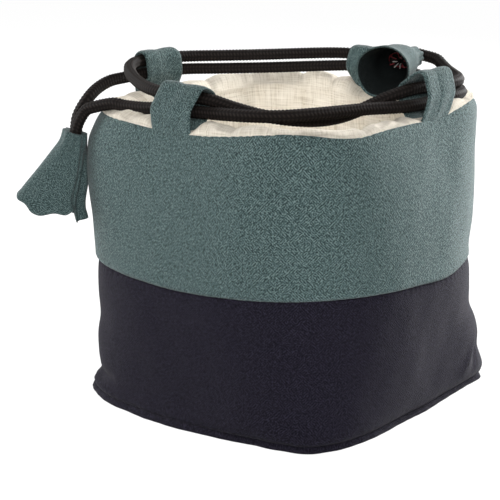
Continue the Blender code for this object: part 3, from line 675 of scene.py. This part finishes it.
def wall_wadding_form(around, along):
    """A closed strip round the wall: up the outside, over the rim and down the inside."""
    angle = 2 * np.pi * (around - 0.375)
    outside = np.clip(along / 0.46, 0, 1)
    over = np.clip((along - 0.46) / 0.08, 0, 1)
    inside = np.clip((along - 0.54) / 0.46, 0, 1)
    top = RIM_HEIGHT - 0.0010
    z = np.where(along < 0.5, WADDING_BOTTOM + (top - WADDING_BOTTOM) * outside,
                 top - (top - WADDING_BOTTOM) * inside)
    puff = 0.0014 + 0.0022 * quilting(angle)
    outer = 0.0013 + 0.0018 * np.exp(-((z - BAND_SEAM_HEIGHT) / 0.004) ** 2)
    inset = np.where(along < 0.46, outer, np.where(along > 0.54, 0.0015 + puff, 0.0014 + puff * over))
    point = wall_point(angle, z, inset)
    point[:, 2] += np.sin(np.pi * over) * 0.0012
    return point


wadding_felt = felted_wadding()
wall_wadding = laid_over("wall_wadding", flat_cut(220, 70), wall_wadding_form, (0.46, 0.24), wadding_felt)
wadding_end = bmesh.new()
wadding_end.from_mesh(wall_wadding.data)
bmesh.ops.bridge_loops(wadding_end, edges=[edge for edge in wadding_end.edges if edge.is_boundary])
bmesh.ops.recalc_face_normals(wadding_end, faces=wadding_end.faces)
wadding_end.to_mesh(wall_wadding.data)
wadding_end.free()
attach(wall_wadding, "bag")
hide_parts("wall_batting")


def base_wadding_form(across, along):
    """A thin pad: the cut's outer quarter turns under, so that both its faces are one piece."""
    angle, out = spread_square(across, along)
    upper = np.clip(out / 0.5, 0, 1)
    lower = np.clip((out - 0.5) / 0.5, 0, 1)
    edge = plain_radius(angle, 0.0 * angle + 0.003) - 0.0062
    radius = edge * np.where(out < 0.5, upper, 1 - lower * 0.999)
    crown = 1 - (radius / edge) ** 6
    height = np.where(out < 0.5, 0.0036 + 0.0024 * crown, 0.0036 - 0.0022 * crown)
    return np.column_stack([radius * np.cos(angle), radius * np.sin(angle), height])


base_wadding = laid_over("base_wadding", flat_cut(96, 96), base_wadding_form, (0.13, 0.13), wadding_felt,
                         closed=True)
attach(base_wadding, "bag")
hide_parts("base_batting")

# Lining: natural cream linen with slubs and flecks, quilted to the wadding in upright channels.
# It starts in the rim seam, rolls over the rim in soft puffs and runs down to a square floor.

LINING_THICKNESS = 0.0007
CHANNEL_COLUMNS = 11
LINING_ROWS = 60
ROLL_SHARE = 0.20

# Height of the roll's top by angle, degrees and mm
ROLL_TOP = [
    (-170, 125.4), (-150, 125.8), (-135, 125.0), (-118, 124.4), (-100, 123.8), (-75, 124.1), (-60, 125.0),
    (-45, 125.6), (-30, 124.2), (-10, 124.0), (10, 124.2), (24, 126.6), (40, 127.8), (60, 127.0), (86, 126.4),
    (110, 127.4), (130, 127.6), (150, 127.0),
]
# Straps stand at these angles: the roll is pressed down there. Degrees and half width in degrees
STRAP_SEATS = [(-95.5, 10.5), (8.5, 11.0), (85.7, 10.5), (-170.6, 10.5)]


def pressed_by_straps(angle):
    press = 0.0 * angle
    for middle, half in STRAP_SEATS:
        press = np.maximum(press, np.exp(-(degrees_from(angle, middle) / half) ** 6))
    return press


def lining_angle(around):
    return np.radians(QUILT_LINES[0]) + 2 * np.pi * around


def channel_places(share):
    """Moves even shares so that every quilting line falls on a column of the cut."""
    lines = (np.array(QUILT_LINES) - QUILT_LINES[0]) / 360
    return np.interp(share, np.linspace(0, 1, len(lines)), lines)


def lining_wall_form(around, along):
    """From the rim seam up over the roll, then down the inside to the floor."""
    angle = lining_angle(around)
    puff = quilting(angle, 0.5)
    press = pressed_by_straps(angle)
    rim = round_the_bag(RIM_BY_ANGLE, angle)
    top = round_the_bag(ROLL_TOP, angle) + 0.0004
    top = top - 0.0024 * (1 - puff) * (1 - press) - press * (top - rim - 0.0006)
    rise = np.maximum(top - rim, 0.0004)
    width = 0.0104 + 0.0030 * puff
    # The roll is half an oval from the seam to the inside wall. The wall stays full at its upper
    # part and lies closer to the wadding below
    roll = np.clip(along / ROLL_SHARE, 0, 1)
    swing = np.pi * roll
    bulge = 0.0010 * puff * (1 - press) * np.sin(swing) * (roll < 0.5)
    roll_inset = 0.0010 + width * (1 - np.cos(swing)) / 2 - bulge
    sunk = 0.0035 * np.clip(roll - 0.5, 0, 1) * 2
    roll_height = rim - 0.0004 + (rise + 0.0004) * np.sin(swing) ** 0.75 - sunk
    fall = np.clip((along - ROLL_SHARE) / (1 - ROLL_SHARE), 0, 1)
    z = RIM_HEIGHT - 0.0036 - (RIM_HEIGHT - 0.0036 - WADDING_BOTTOM - 0.0006) * fall
    inner = 0.0050 + 0.0034 * puff * np.clip(1.15 - fall, 0.35, 1)
    settle = 1 / (1 + np.exp((fall - 0.38) / 0.075))
    full = 0.0010 + width + (0.0018 - 0.0016 * (1 - puff)) * np.clip(fall / 0.15, 0, 1)
    inner = inner * (1 - settle) + full * settle
    points = wall_point(angle, z, inner)
    on_roll = wall_point(angle, 0.0 * angle + RIM_HEIGHT, roll_inset)
    on_roll[:, 2] = roll_height
    return np.where((along < ROLL_SHARE)[:, None], on_roll, points)


def lining_held(around, along):
    """1 where the lining is sewn down: on the quilting lines, at both its ends and under the straps."""
    angle = lining_angle(around)
    sewn = (quilting(angle) < 0.05) & (along > ROLL_SHARE / 2)
    ends = (along < 0.5 / LINING_ROWS) | (along > 1 - 1.5 / LINING_ROWS)
    pressed = (pressed_by_straps(angle) > 0.3) & (along < ROLL_SHARE * 1.2)
    return (sewn | ends | pressed).astype(float)


def settled(piece, pressure, spare, reach, frames=20):
    """Lets the filling push sewn cloth out between its held places, with a little spare cloth.

    spare is the share by which the cloth is larger than its cut, reach how far a point may move.
    """
    mesh = piece.data
    held = np.empty(len(mesh.vertices), dtype=np.float32)
    mesh.attributes["relief"].data.foreach_get("value", held)
    pins = piece.vertex_groups.new(name="held")
    pins.add(np.flatnonzero(held > 0.5).tolist(), 1.0, "REPLACE")
    before = np.empty(len(mesh.vertices) * 3)
    mesh.vertices.foreach_get("co", before)
    before = before.reshape(-1, 3)
    cloth = piece.modifiers.new("settling", "CLOTH")
    cloth.settings.quality = 6
    cloth.settings.mass = 0.15
    cloth.settings.vertex_group_mass = "held"
    cloth.settings.use_pressure = True
    cloth.settings.uniform_pressure_force = pressure
    cloth.settings.shrink_min = -spare
    cloth.settings.effector_weights.gravity = 0.0
    cloth.settings.bending_stiffness = 0.05
    cloth.collision_settings.use_collision = False
    cloth.point_cache.frame_start = 1
    cloth.point_cache.frame_end = frames
    for frame_number in range(1, frames + 1):
        bpy.context.scene.frame_set(frame_number)
    found = piece.evaluated_get(bpy.context.evaluated_depsgraph_get()).data
    after = np.empty(len(before) * 3)
    found.vertices.foreach_get("co", after)
    moved = after.reshape(-1, 3) - before
    far = np.linalg.norm(moved, axis=1)[:, None]
    moved *= np.minimum(1.0, reach / np.maximum(far, 1e-9))
    piece.modifiers.remove(cloth)
    bpy.context.scene.frame_set(1)
    mesh.vertices.foreach_set("co", (before + moved).ravel())
    mesh.update()


def slubby_linen():
    material, tree, shader = plain_shader("cream_linen_weave", 0.93, 0.10, 0.5, 0.10)
    place = add_node(tree, "ShaderNodeUVMap", uv_map="cloth").outputs["UV"]
    threads = []
    for direction, stretch in (("X", (7.0, 0.35, 1.0)), ("Y", (0.35, 7.0, 1.0))):
        wave = add_node(tree, "ShaderNodeTexWave", {
            "Vector": place, "Scale": 6.6, "Distortion": 0.7, "Detail": 1.0, "Detail Scale": 1.5},
            wave_type="BANDS", bands_direction=direction).outputs["Fac"]
        slub = stretched_noise(tree, place, stretch, 2.2, 2.0)
        threads.append((wave, slub))
    weave, slubs = (weighted(tree, threads[0][k], 0.5, threads[1][k]) for k in (0, 1))
    shade = graded(tree, slubs, [(0.34, (0.5286, 0.4643, 0.3714, 1)), (0.50, (0.7429, 0.6857, 0.5857, 1)),
                                 (0.66, (0.8571, 0.8000, 0.7000, 1))])
    shade = mixed(tree, reckon(tree, "MULTIPLY", reckon(tree, "SUBTRACT", 1.0, weave), 0.25), shade,
                  (0.7143, 0.6143, 0.4714, 1))
    fleck = graded(tree, noise(tree, place, 5.5), [(0.66, (0, 0, 0, 1)), (0.74, (1, 1, 1, 1))])
    shade = mixed(tree, reckon(tree, "MULTIPLY", fleck, 0.55), shade, (0.42, 0.32, 0.20, 1))
    tree.links.new(shade, shader.inputs["Base Color"])
    roughen(tree, shader, reckon(tree, "ADD", weave, slubs), 0.00025, 0.7)
    return material


cream_linen = slubby_linen()
lining_cut = flat_cut(CHANNEL_COLUMNS * (len(QUILT_LINES) - 1), LINING_ROWS, place_columns=channel_places)
lining_wall = laid_over("lining_roll", lining_cut, lining_wall_form, (0.455, 0.150), cream_linen,
                        relief=lining_held)
settled(lining_wall, pressure=4.0, spare=0.03, reach=0.0016)
rounded = lining_wall.modifiers.new("rounded", "SUBSURF")
rounded.levels = rounded.render_levels = 1
thickened(lining_wall, "linen", LINING_THICKNESS)
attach(lining_wall, "bag")
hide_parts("lining_wall")


def lining_floor_form(across, along):
    angle, out = spread_square(across, along)
    edge = plain_radius(angle, 0.0 * angle + 0.0070) - 0.0058
    radius = edge * out
    quilt = np.abs(np.sin(np.pi * 3 * across) * np.sin(np.pi * 3 * along)) ** 0.5
    height = 0.0066 + 0.0010 * quilt + 0.0006 * np.clip((out - 0.94) / 0.06, 0, 1)
    return np.column_stack([radius * np.cos(angle), radius * np.sin(angle), height])


lining_floor = laid_over("lining_floor", flat_cut(100, 100), lining_floor_form, (0.132, 0.132), cream_linen)
thickened(lining_floor, "linen", LINING_THICKNESS)
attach(lining_floor, "bag")
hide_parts("lining_base")

# Straps: four wide strips of the teal cloth, hemmed and folded double into D-shaped sleeves.
# Both their ends are caught in the rim seam. Each one is drawn tight round both cords.

STRAP_WIDTH = 0.0200
STRAP_HALF_THICKNESS = 0.00062
STRAP_ROOM = 0.0004
STRAP_STATIONS = 9
STRAP_POINTS = 90
OUTER_LEG_INSET, INNER_LEG_INSET = 0.00175, 0.00335
LEG_LOW, LEG_FREE = 0.0036, 0.0006

# Side of the bag, place along it at the foot and at the top, height of the rim there, then the
# cloth's own bulges as (inset from the rim, height, radius): over the rim, and at the top's left
# and right edge, in mm
STRAPS = {
    "loop_front": ("front", -6.5, -6.5, 119.56, (4.2, 126.5, 3.3), (10.2, 133.6, 3.3), (9.8, 132.6, 3.3)),
    "loop_right": ("right", 10.0, 18.0, 121.8, (4.6, 130.5, 3.3), (7.6, 136.6, 3.3), (7.6, 136.6, 3.3)),
    "loop_back": ("back", 5.0, 2.0, 122.02, (4.0, 130.0, 2.4), (7.0, 137.4, 3.2), (7.0, 137.4, 3.2)),
    "loop_left": ("left", -11.0, -14.5, 119.66, (4.4, 131.0, 2.4), (7.0, 138.9, 3.2), (7.0, 138.9, 3.2)),
}
SIDES = {
    "front": (Vector((0, 1, 0)), Vector((1, 0, 0))),
    "right": (Vector((-1, 0, 0)), Vector((0, 1, 0))),
    "back": (Vector((0, -1, 0)), Vector((1, 0, 0))),
    "left": (Vector((1, 0, 0)), Vector((0, 1, 0))),
}
RIM_HALF = BODY_SHARES[-1][1] * WIDEST_WIDTH / 2


def cord_crossing(line, inward, beside, place):
    """Where a cord crosses a place along one side of the bag: inset from the rim, and height."""
    inset = line @ np.array(inward) + RIM_HALF
    along = line @ np.array(beside)
    near = np.flatnonzero(inset < 0.030)
    best = near[np.argmin(np.abs(along[near] - place))]
    return inset[best], line[best, 2]


def hull_round(circles, feet):
    """Cloth drawn tight round circles, from the inner foot to the outer one, as an even line."""
    turn = np.linspace(0, 2 * np.pi, 48, endpoint=False)
    spots = [np.column_stack([x + r * np.cos(turn), z + r * np.sin(turn)]) for x, z, r in circles]
    spots = np.vstack(spots + [np.array(feet)])
    order = spots[np.lexsort((spots[:, 1], spots[:, 0]))]

    def half_ring(points):
        kept = []
        for point in points:
            while len(kept) > 1:
                (ax, ay), (bx, by) = kept[-1] - kept[-2], point - kept[-2]
                if ax * by - ay * bx > 0:
                    break
                kept.pop()
            kept.append(point)
        return kept[:-1]

    ring = np.array(half_ring(order) + half_ring(order[::-1]))
    start = int(np.argmin(np.linalg.norm(ring - np.array(feet[0]), axis=1)))
    ring = np.roll(ring, -start, axis=0)
    travelled = np.concatenate([[0], np.cumsum(np.linalg.norm(np.diff(ring, axis=0), axis=1))])
    even = np.linspace(0, travelled[-1], STRAP_POINTS)
    line = read_off(ring, travelled, even)
    for _ in range(4):
        line[1:-1] = (line[:-2] + 2 * line[1:-1] + line[2:]) / 4
    return line


def strap_piece(name, side, foot_place, top_place, rim, belly, crown_left, crown_right):
    inward, beside = SIDES[side]
    flats = np.linspace(-1, 1, STRAP_STATIONS)
    low = rim / 1000 - LEG_LOW
    feet = [(INNER_LEG_INSET, low), (INNER_LEG_INSET, low + LEG_LOW + LEG_FREE),
            (OUTER_LEG_INSET, low + LEG_LOW + LEG_FREE), (OUTER_LEG_INSET, low)]
    lines = []
    for flat in flats:
        place = top_place / 1000 + flat * STRAP_WIDTH / 2
        reach = CORD_DIAMETER / 2 + STRAP_ROOM + STRAP_HALF_THICKNESS
        circles = [(*cord_crossing(line, inward, beside, place), reach) for line in (left_line, right_line)]
        crown = [(1 - flat) / 2 * a + (1 + flat) / 2 * b for a, b in zip(crown_left, crown_right)]
        for bulge in (belly, crown):
            circles.append(tuple(value / 1000 for value in bulge))
        lines.append(hull_round(circles, feet))
    lines = np.array(lines)
    direction = np.gradient(lines, axis=1)
    direction /= np.linalg.norm(direction, axis=2)[:, :, None]
    off = np.stack([direction[:, :, 1], -direction[:, :, 0]], axis=2)
    length = np.linalg.norm(np.diff(lines[STRAP_STATIONS // 2], axis=0), axis=1).sum()
    top = lines[:, :, 1].max()

    def between(values, flat, along):
        """Value between the stations and the points of the strap's lines."""
        u = np.clip((flat + 1) / 2 * (STRAP_STATIONS - 1), 0, STRAP_STATIONS - 1.001)
        v = np.clip(along * (STRAP_POINTS - 1), 0, STRAP_POINTS - 1.001)
        i, j = u.astype(int), v.astype(int)
        s, t = (u - i)[:, None], (v - j)[:, None]
        return ((1 - s) * (1 - t) * values[i, j] + s * (1 - t) * values[i + 1, j]
                + (1 - s) * t * values[i, j + 1] + s * t * values[i + 1, j + 1])

    def form(around, along):
        turn = 2 * np.pi * around
        flat = np.abs(4 * around - 2) - 1
        depth = np.sign(np.sin(turn)) * np.sqrt(np.clip(1 - np.abs(flat) ** 6, 0, 1))
        spot = between(lines, flat, along)
        rise = np.clip((spot[:, 1] - low - LEG_LOW) / (top - low - LEG_LOW), 0, 1)
        place = foot_place / 1000 + (top_place - foot_place) / 1000 * rise**0.6
        width = STRAP_WIDTH / 2 * (1.01 + 0.06 * rise)
        hem = 1 + 0.30 * np.exp(-((np.abs(flat) - 0.84) / 0.10) ** 2)
        seam = -0.00016 * np.exp(-((flat + 0.12) / 0.05) ** 2)
        slack = 0.00022 * np.sin(flat * 5 + along * 9) * (1 - flat**2)
        spot = spot + between(off, flat, along) * (depth * STRAP_HALF_THICKNESS * hem + slack + seam)[:, None]
        start = np.array(-inward * RIM_HALF)
        level = start + np.outer(spot[:, 0], np.array(inward))
        level = level + np.outer(place + flat * width, np.array(beside))
        return level + np.outer(spot[:, 1], (0.0, 0.0, 1.0))

    piece = laid_over(name, flat_cut(72, 130), form, (0.042, length), teal_cloth, closed=True)
    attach(piece, "bag")
    return piece


for node, strap_form in STRAPS.items():
    strap = strap_piece("strap_" + strap_form[0], *strap_form)
    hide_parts(node)

# Pulls: flared bells of teal cloth, gathered round each pair of cord ends and hemmed at the
# mouth. A winding of red and white thread holds the cord ends inside.

PULL_CLOTH = 0.0009
LEFT_PULL_LENGTH = 0.0360
RIGHT_PULL_LENGTH = 0.0355

# Share of the length, half size across and the other way, how far the middle lies off the axis
# the same two ways, and squareness, in mm
LEFT_BELL = [
    (0.00, 6.2, 5.0, 0.0, -2.6, 2.4), (0.11, 6.0, 5.6, 0.0, -3.0, 2.4), (0.30, 6.2, 8.1, 0.0, -2.7, 2.6),
    (0.50, 6.6, 10.5, 0.0, -2.1, 2.7), (0.87, 7.2, 13.9, 0.0, -0.5, 2.7), (1.00, 7.5, 15.4, 0.0, -0.8, 3.0),
]
RIGHT_BELL = [
    (0.00, 6.6, 4.4, 0.0, 0.0, 2.4), (0.12, 6.4, 4.9, 0.0, 0.0, 2.4), (0.40, 8.6, 7.8, 0.3, 0.0, 2.3),
    (0.70, 8.7, 8.6, 0.2, 0.0, 2.2), (1.00, 11.3, 10.6, 0.2, 0.0, 2.2),
]
# Length of the cloth from the neck to the hem by turn, in degrees and mm
LEFT_HEM = [
    (-180, 35.0), (-135, 35.5), (-90, 34.6), (-66, 36.0), (-50, 36.8), (-42, 35.0), (-36, 31.8), (-20, 33.8),
    (-4, 34.0), (20, 36.4), (30, 35.8), (39, 34.0), (64, 32.6), (90, 31.0), (135, 33.0),
]
RIGHT_HEM = [(-150, 35.8), (-90, 35.2), (-30, 36.0), (30, 35.2), (90, 35.9), (150, 35.3)]
# Folds: turn and its spread, shares of the length where the fold starts and is full, push in mm
LEFT_FOLDS = [(-35, 5, 0.05, 0.45, -1.0), (-62, 20, 0.05, 0.5, -3.6), (10, 16, 0.1, 0.9, 0.5),
              (48, 14, 0.1, 0.8, -0.7), (150, 22, 0.2, 1.0, 0.8), (-130, 20, 0.2, 1.0, -1.0)]
RIGHT_FOLDS = [(200, 24, 0.3, 1.0, 0.5), (300, 30, 0.3, 1.0, -0.6), (60, 18, 0.2, 0.9, 0.4)]


# Shares of the cloth: up to the hem outside, and from where the inside with painted shade starts
BELL_OUTSIDE = 0.56
BELL_PAINTED_SHADE = 0.575
BELL_CLOTH = (0.085, 0.076)


def bell(name, neck, axis, across, length, sizes, hem, folds):
    """A cloth bell: outside from neck to mouth, round the hem and back up the inside."""
    other = np.array(axis.cross(across))
    axis, across, neck = np.array(axis), np.array(across), np.array(neck)

    def form(around, along):
        turn = 2 * np.pi * around
        going = np.clip(along / BELL_OUTSIDE, 0, 1)
        returning = np.clip((along - BELL_OUTSIDE) / (1 - BELL_OUTSIDE), 0, 1)
        outside = along < BELL_OUTSIDE
        share = np.where(outside, going, 1 - returning * 0.86)
        half_across, half_other, off_across, off_other, squareness = smooth_rows(sizes, share)
        inset = np.where(outside, 0.0, PULL_CLOTH * np.clip(returning * 9, 0, 1))
        c, s = np.cos(turn), np.sin(turn)
        unit = (np.abs(c) ** squareness + np.abs(s) ** squareness) ** (-1 / squareness)
        push = 0.0 * turn
        for middle, spread, start, end, depth in folds:
            grows = np.clip((share - start) / (end - start), 0, 1)
            push = push + depth * np.exp(-(degrees_from(turn, middle) / spread) ** 2) * grows
        gathers = 0.35 * np.sin(turn * 9 + 1.5 * np.sin(turn * 2)) * np.exp(-(share / 0.25) ** 2)
        push = push + gathers
        reach = length * share + (round_the_bag(hem, turn) - length) * share**3
        lip = np.where(outside, 0.0, PULL_CLOTH * 0.2 * np.sin(np.pi * np.clip(returning * 9, 0, 1)))
        hem_roll = 0.0003 * np.exp(-((1 - share) * length / 0.0030) ** 4) * outside
        a = (half_across / 1000 - inset + hem_roll) * unit * c * (1 + push / half_across) + off_across / 1000
        b = (half_other / 1000 - inset + hem_roll) * unit * s * (1 + push / half_other) + off_other / 1000
        return neck + np.outer(reach + lip, axis) + np.outer(a, across) + np.outer(b, other)

    piece = laid_over(name, flat_cut(144, 120), form, BELL_CLOTH, teal_cloth, closed=True)
    # The inner faces take the darker cloth, which is painted shade
    piece.data.materials.append(painted_shade_cloth)
    flat = piece.data.uv_layers["cloth"].data
    for face in piece.data.polygons:
        if np.mean([flat[corner].uv[1] for corner in face.loop_indices]) > BELL_CLOTH[1] * 100 * BELL_PAINTED_SHADE:
            face.material_index = 1
    return piece


# Painted shade: inside the pulls the cloth is drawn far darker than its face, for the shadow inside the bells
painted_shade_cloth = broken_twill("teal_cloth_painted_shade", (0.0029, 0.0040, 0.0043, 1), (0.0086, 0.0114, 0.0117, 1),
                            (0.0229, 0.0286, 0.0286, 1), 0.0, 0.3)

left_pull = bell("left_bell", LEFT_NECK, left_axis, left_across, LEFT_PULL_LENGTH, LEFT_BELL, LEFT_HEM,
                 LEFT_FOLDS)
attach(left_pull, "left_tassel")
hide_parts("left_pull")
right_pull = bell("right_bell", RIGHT_NECK, right_axis, right_across, RIGHT_PULL_LENGTH, RIGHT_BELL,
                  RIGHT_HEM, RIGHT_FOLDS)
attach(right_pull, "right_tassel")
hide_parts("right_pull")


def sewing_thread(name, colour):
    material, tree, shader = plain_shader(name, 0.7, 0.3, 0.4, 0.3)
    place = add_node(tree, "ShaderNodeUVMap", uv_map="cloth").outputs["UV"]
    ply = add_node(tree, "ShaderNodeTexWave", {"Vector": place, "Scale": 9.0, "Distortion": 0.4},
                   wave_type="BANDS", bands_direction="DIAGONAL").outputs["Fac"]
    shade = mixed(tree, ply, tuple(c * 0.45 for c in colour[:3]) + (1,), colour)
    tree.links.new(shade, shader.inputs["Base Color"])
    roughen(tree, shader, ply, 0.0001, 0.6)
    return material


red_thread = sewing_thread("red_thread", (0.30, 0.020, 0.028, 1))
white_thread = sewing_thread("white_thread", (0.80, 0.76, 0.72, 1))


def thread_run(name, places, thickness, material):
    """One run of thread along given places."""
    line = smooth_line(places, 0.0003)
    _, side, over = turning_frames(line)
    stations = np.linspace(0, 1, len(line))

    def form(around, along):
        turn = 2 * np.pi * around
        centre, sideways, upwards = (read_off(values, stations, along) for values in (line, side, over))
        taper = thickness / 2 * np.clip(np.minimum(along, 1 - along) * 30, 0.3, 1)
        return centre + sideways * (taper * np.cos(turn))[:, None] + upwards * (taper * np.sin(turn))[:, None]

    return laid_over(name, flat_cut(6, len(line)), form, (math.pi * thickness, line_length(line)), material,
                     closed=True)


def winding(side, neck, axis, across, node):
    """Thread wound round both cord ends, with loose ends of red and white."""
    other = axis.cross(across)
    turns, steps, thickness = 6, 20, 0.0005
    half_wide, half_deep = 0.0054 + thickness / 2, 0.0027 + thickness / 2

    def beside(reach, wide, deep):
        return Vector(neck) + axis * reach + across * wide + other * deep

    places = []
    for k in range(turns * steps + 1):
        turn = 2 * math.pi * k / steps
        c, s = math.cos(turn), math.sin(turn)
        unit = (abs(c) ** 3.0 + abs(s) ** 3.0) ** (-1 / 3.0)
        places.append(beside(0.0070 + 0.0005 * k / steps, half_wide * unit * c, half_deep * unit * s))
    runs = [thread_run(f"{side}_winding", places, thickness, red_thread)]
    for k in range(9):
        c, s = math.cos(2.399963 * k), math.sin(2.399963 * k)
        spread = 0.0022 + 0.0006 * (k % 3)
        loose = [beside(0.0104, 0.0030 * c, 0.0012 * s), beside(0.0126, spread * 0.5 * c, spread * 0.5 * s),
                 beside(0.0138 + 0.0004 * (k % 4), spread * 1.3 * c, spread * 1.3 * s)]
        runs.append(thread_run(f"{side}_loose_{k}", loose, 0.00045, (red_thread, white_thread)[k % 3 == 0]))
    for run in runs:
        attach(run, f"{side}_tassel")
    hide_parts(node)


winding("left", Vector(LEFT_NECK) + left_aside, left_axis, left_across, "left_pull_binding")
winding("right", RIGHT_NECK, right_axis, right_across, "right_pull_binding")

# Studio: a pale floor that reads white to the camera and keeps a faint shadow, a soft box in
# front that reaches the inside of the far walls, one at each side, the right one stronger, and a
# white surround.


def studio_floor():
    material = bpy.data.materials.new("studio_floor")
    material.use_nodes = True
    tree = material.node_tree
    shader = tree.nodes["Principled BSDF"]
    shader.inputs["Base Color"].default_value = (0.9, 0.9, 0.9, 1)
    shader.inputs["Roughness"].default_value = 1.0
    shader.inputs["Specular IOR Level"].default_value = 0.0
    glow = add_node(tree, "ShaderNodeEmission", {"Color": (1, 1, 1, 1), "Strength": 1.14})
    seen = add_node(tree, "ShaderNodeLightPath")
    straight = reckon(tree, "MAXIMUM", seen.outputs["Is Camera Ray"], seen.outputs["Is Glossy Ray"])
    share = reckon(tree, "MULTIPLY", straight, 0.84)
    mix = add_node(tree, "ShaderNodeMixShader", {0: share, 1: shader.outputs[0], 2: glow.outputs[0]})
    tree.links.new(mix.outputs[0], tree.nodes["Material Output"].inputs["Surface"])
    return material


floor_mesh = bpy.data.meshes.new("floor")
floor_cut = bmesh.new()
bmesh.ops.create_grid(floor_cut, x_segments=1, y_segments=1, size=6.0)
floor_cut.to_mesh(floor_mesh)
floor_cut.free()
floor_mesh.materials.append(studio_floor())
floor = bpy.data.objects.new("floor", floor_mesh)
bpy.context.scene.collection.objects.link(floor)


def soft_box(name, place, size, energy, target=(0, 0, 0.07)):
    lamp = bpy.data.lights.new(name, "AREA")
    lamp.shape = "RECTANGLE"
    lamp.size, lamp.size_y = size
    lamp.energy = energy
    box = bpy.data.objects.new(name, lamp)
    bpy.context.scene.collection.objects.link(box)
    box.location = place
    box.rotation_euler = (Vector(target) - Vector(place)).to_track_quat("-Z", "Y").to_euler()
    return box


soft_box("front_box", (0.46, -0.66, 0.42), (0.5, 0.4), 4.6)
soft_box("left_box", (-0.84, -0.30, 0.36), (0.4, 0.8), 9.1)
soft_box("right_box", (0.24, 0.93, 0.40), (0.4, 0.8), 26.5)

# A small lamp low in the bag's mouth brightens the inside of the far walls
mouth_lamp = soft_box("mouth_lamp", (0.030, -0.040, 0.097), (0.05, 0.03), 0.017, (-0.05, 0.06, 0.112))
mouth_lamp.data.spread = math.radians(80)
mouth_lamp.visible_camera = False

world = bpy.data.worlds.new("studio")
bpy.context.scene.world = world
world.use_nodes = True
surround = world.node_tree
backdrop = surround.nodes["Background"]
backdrop.inputs["Color"].default_value = (1, 1, 1, 1)
backdrop.inputs["Strength"].default_value = 0.19
plain_white = add_node(surround, "ShaderNodeBackground", {"Color": (1, 1, 1, 1), "Strength": 1.0})
ray = add_node(surround, "ShaderNodeLightPath")
either = reckon(surround, "MAXIMUM", ray.outputs["Is Camera Ray"], ray.outputs["Is Glossy Ray"])
both = add_node(surround, "ShaderNodeMixShader", {
    0: either, 1: backdrop.outputs[0], 2: plain_white.outputs[0]})
surround.links.new(both.outputs[0], surround.nodes["World Output"].inputs["Surface"])

bpy.context.scene.view_settings.view_transform = "Standard"
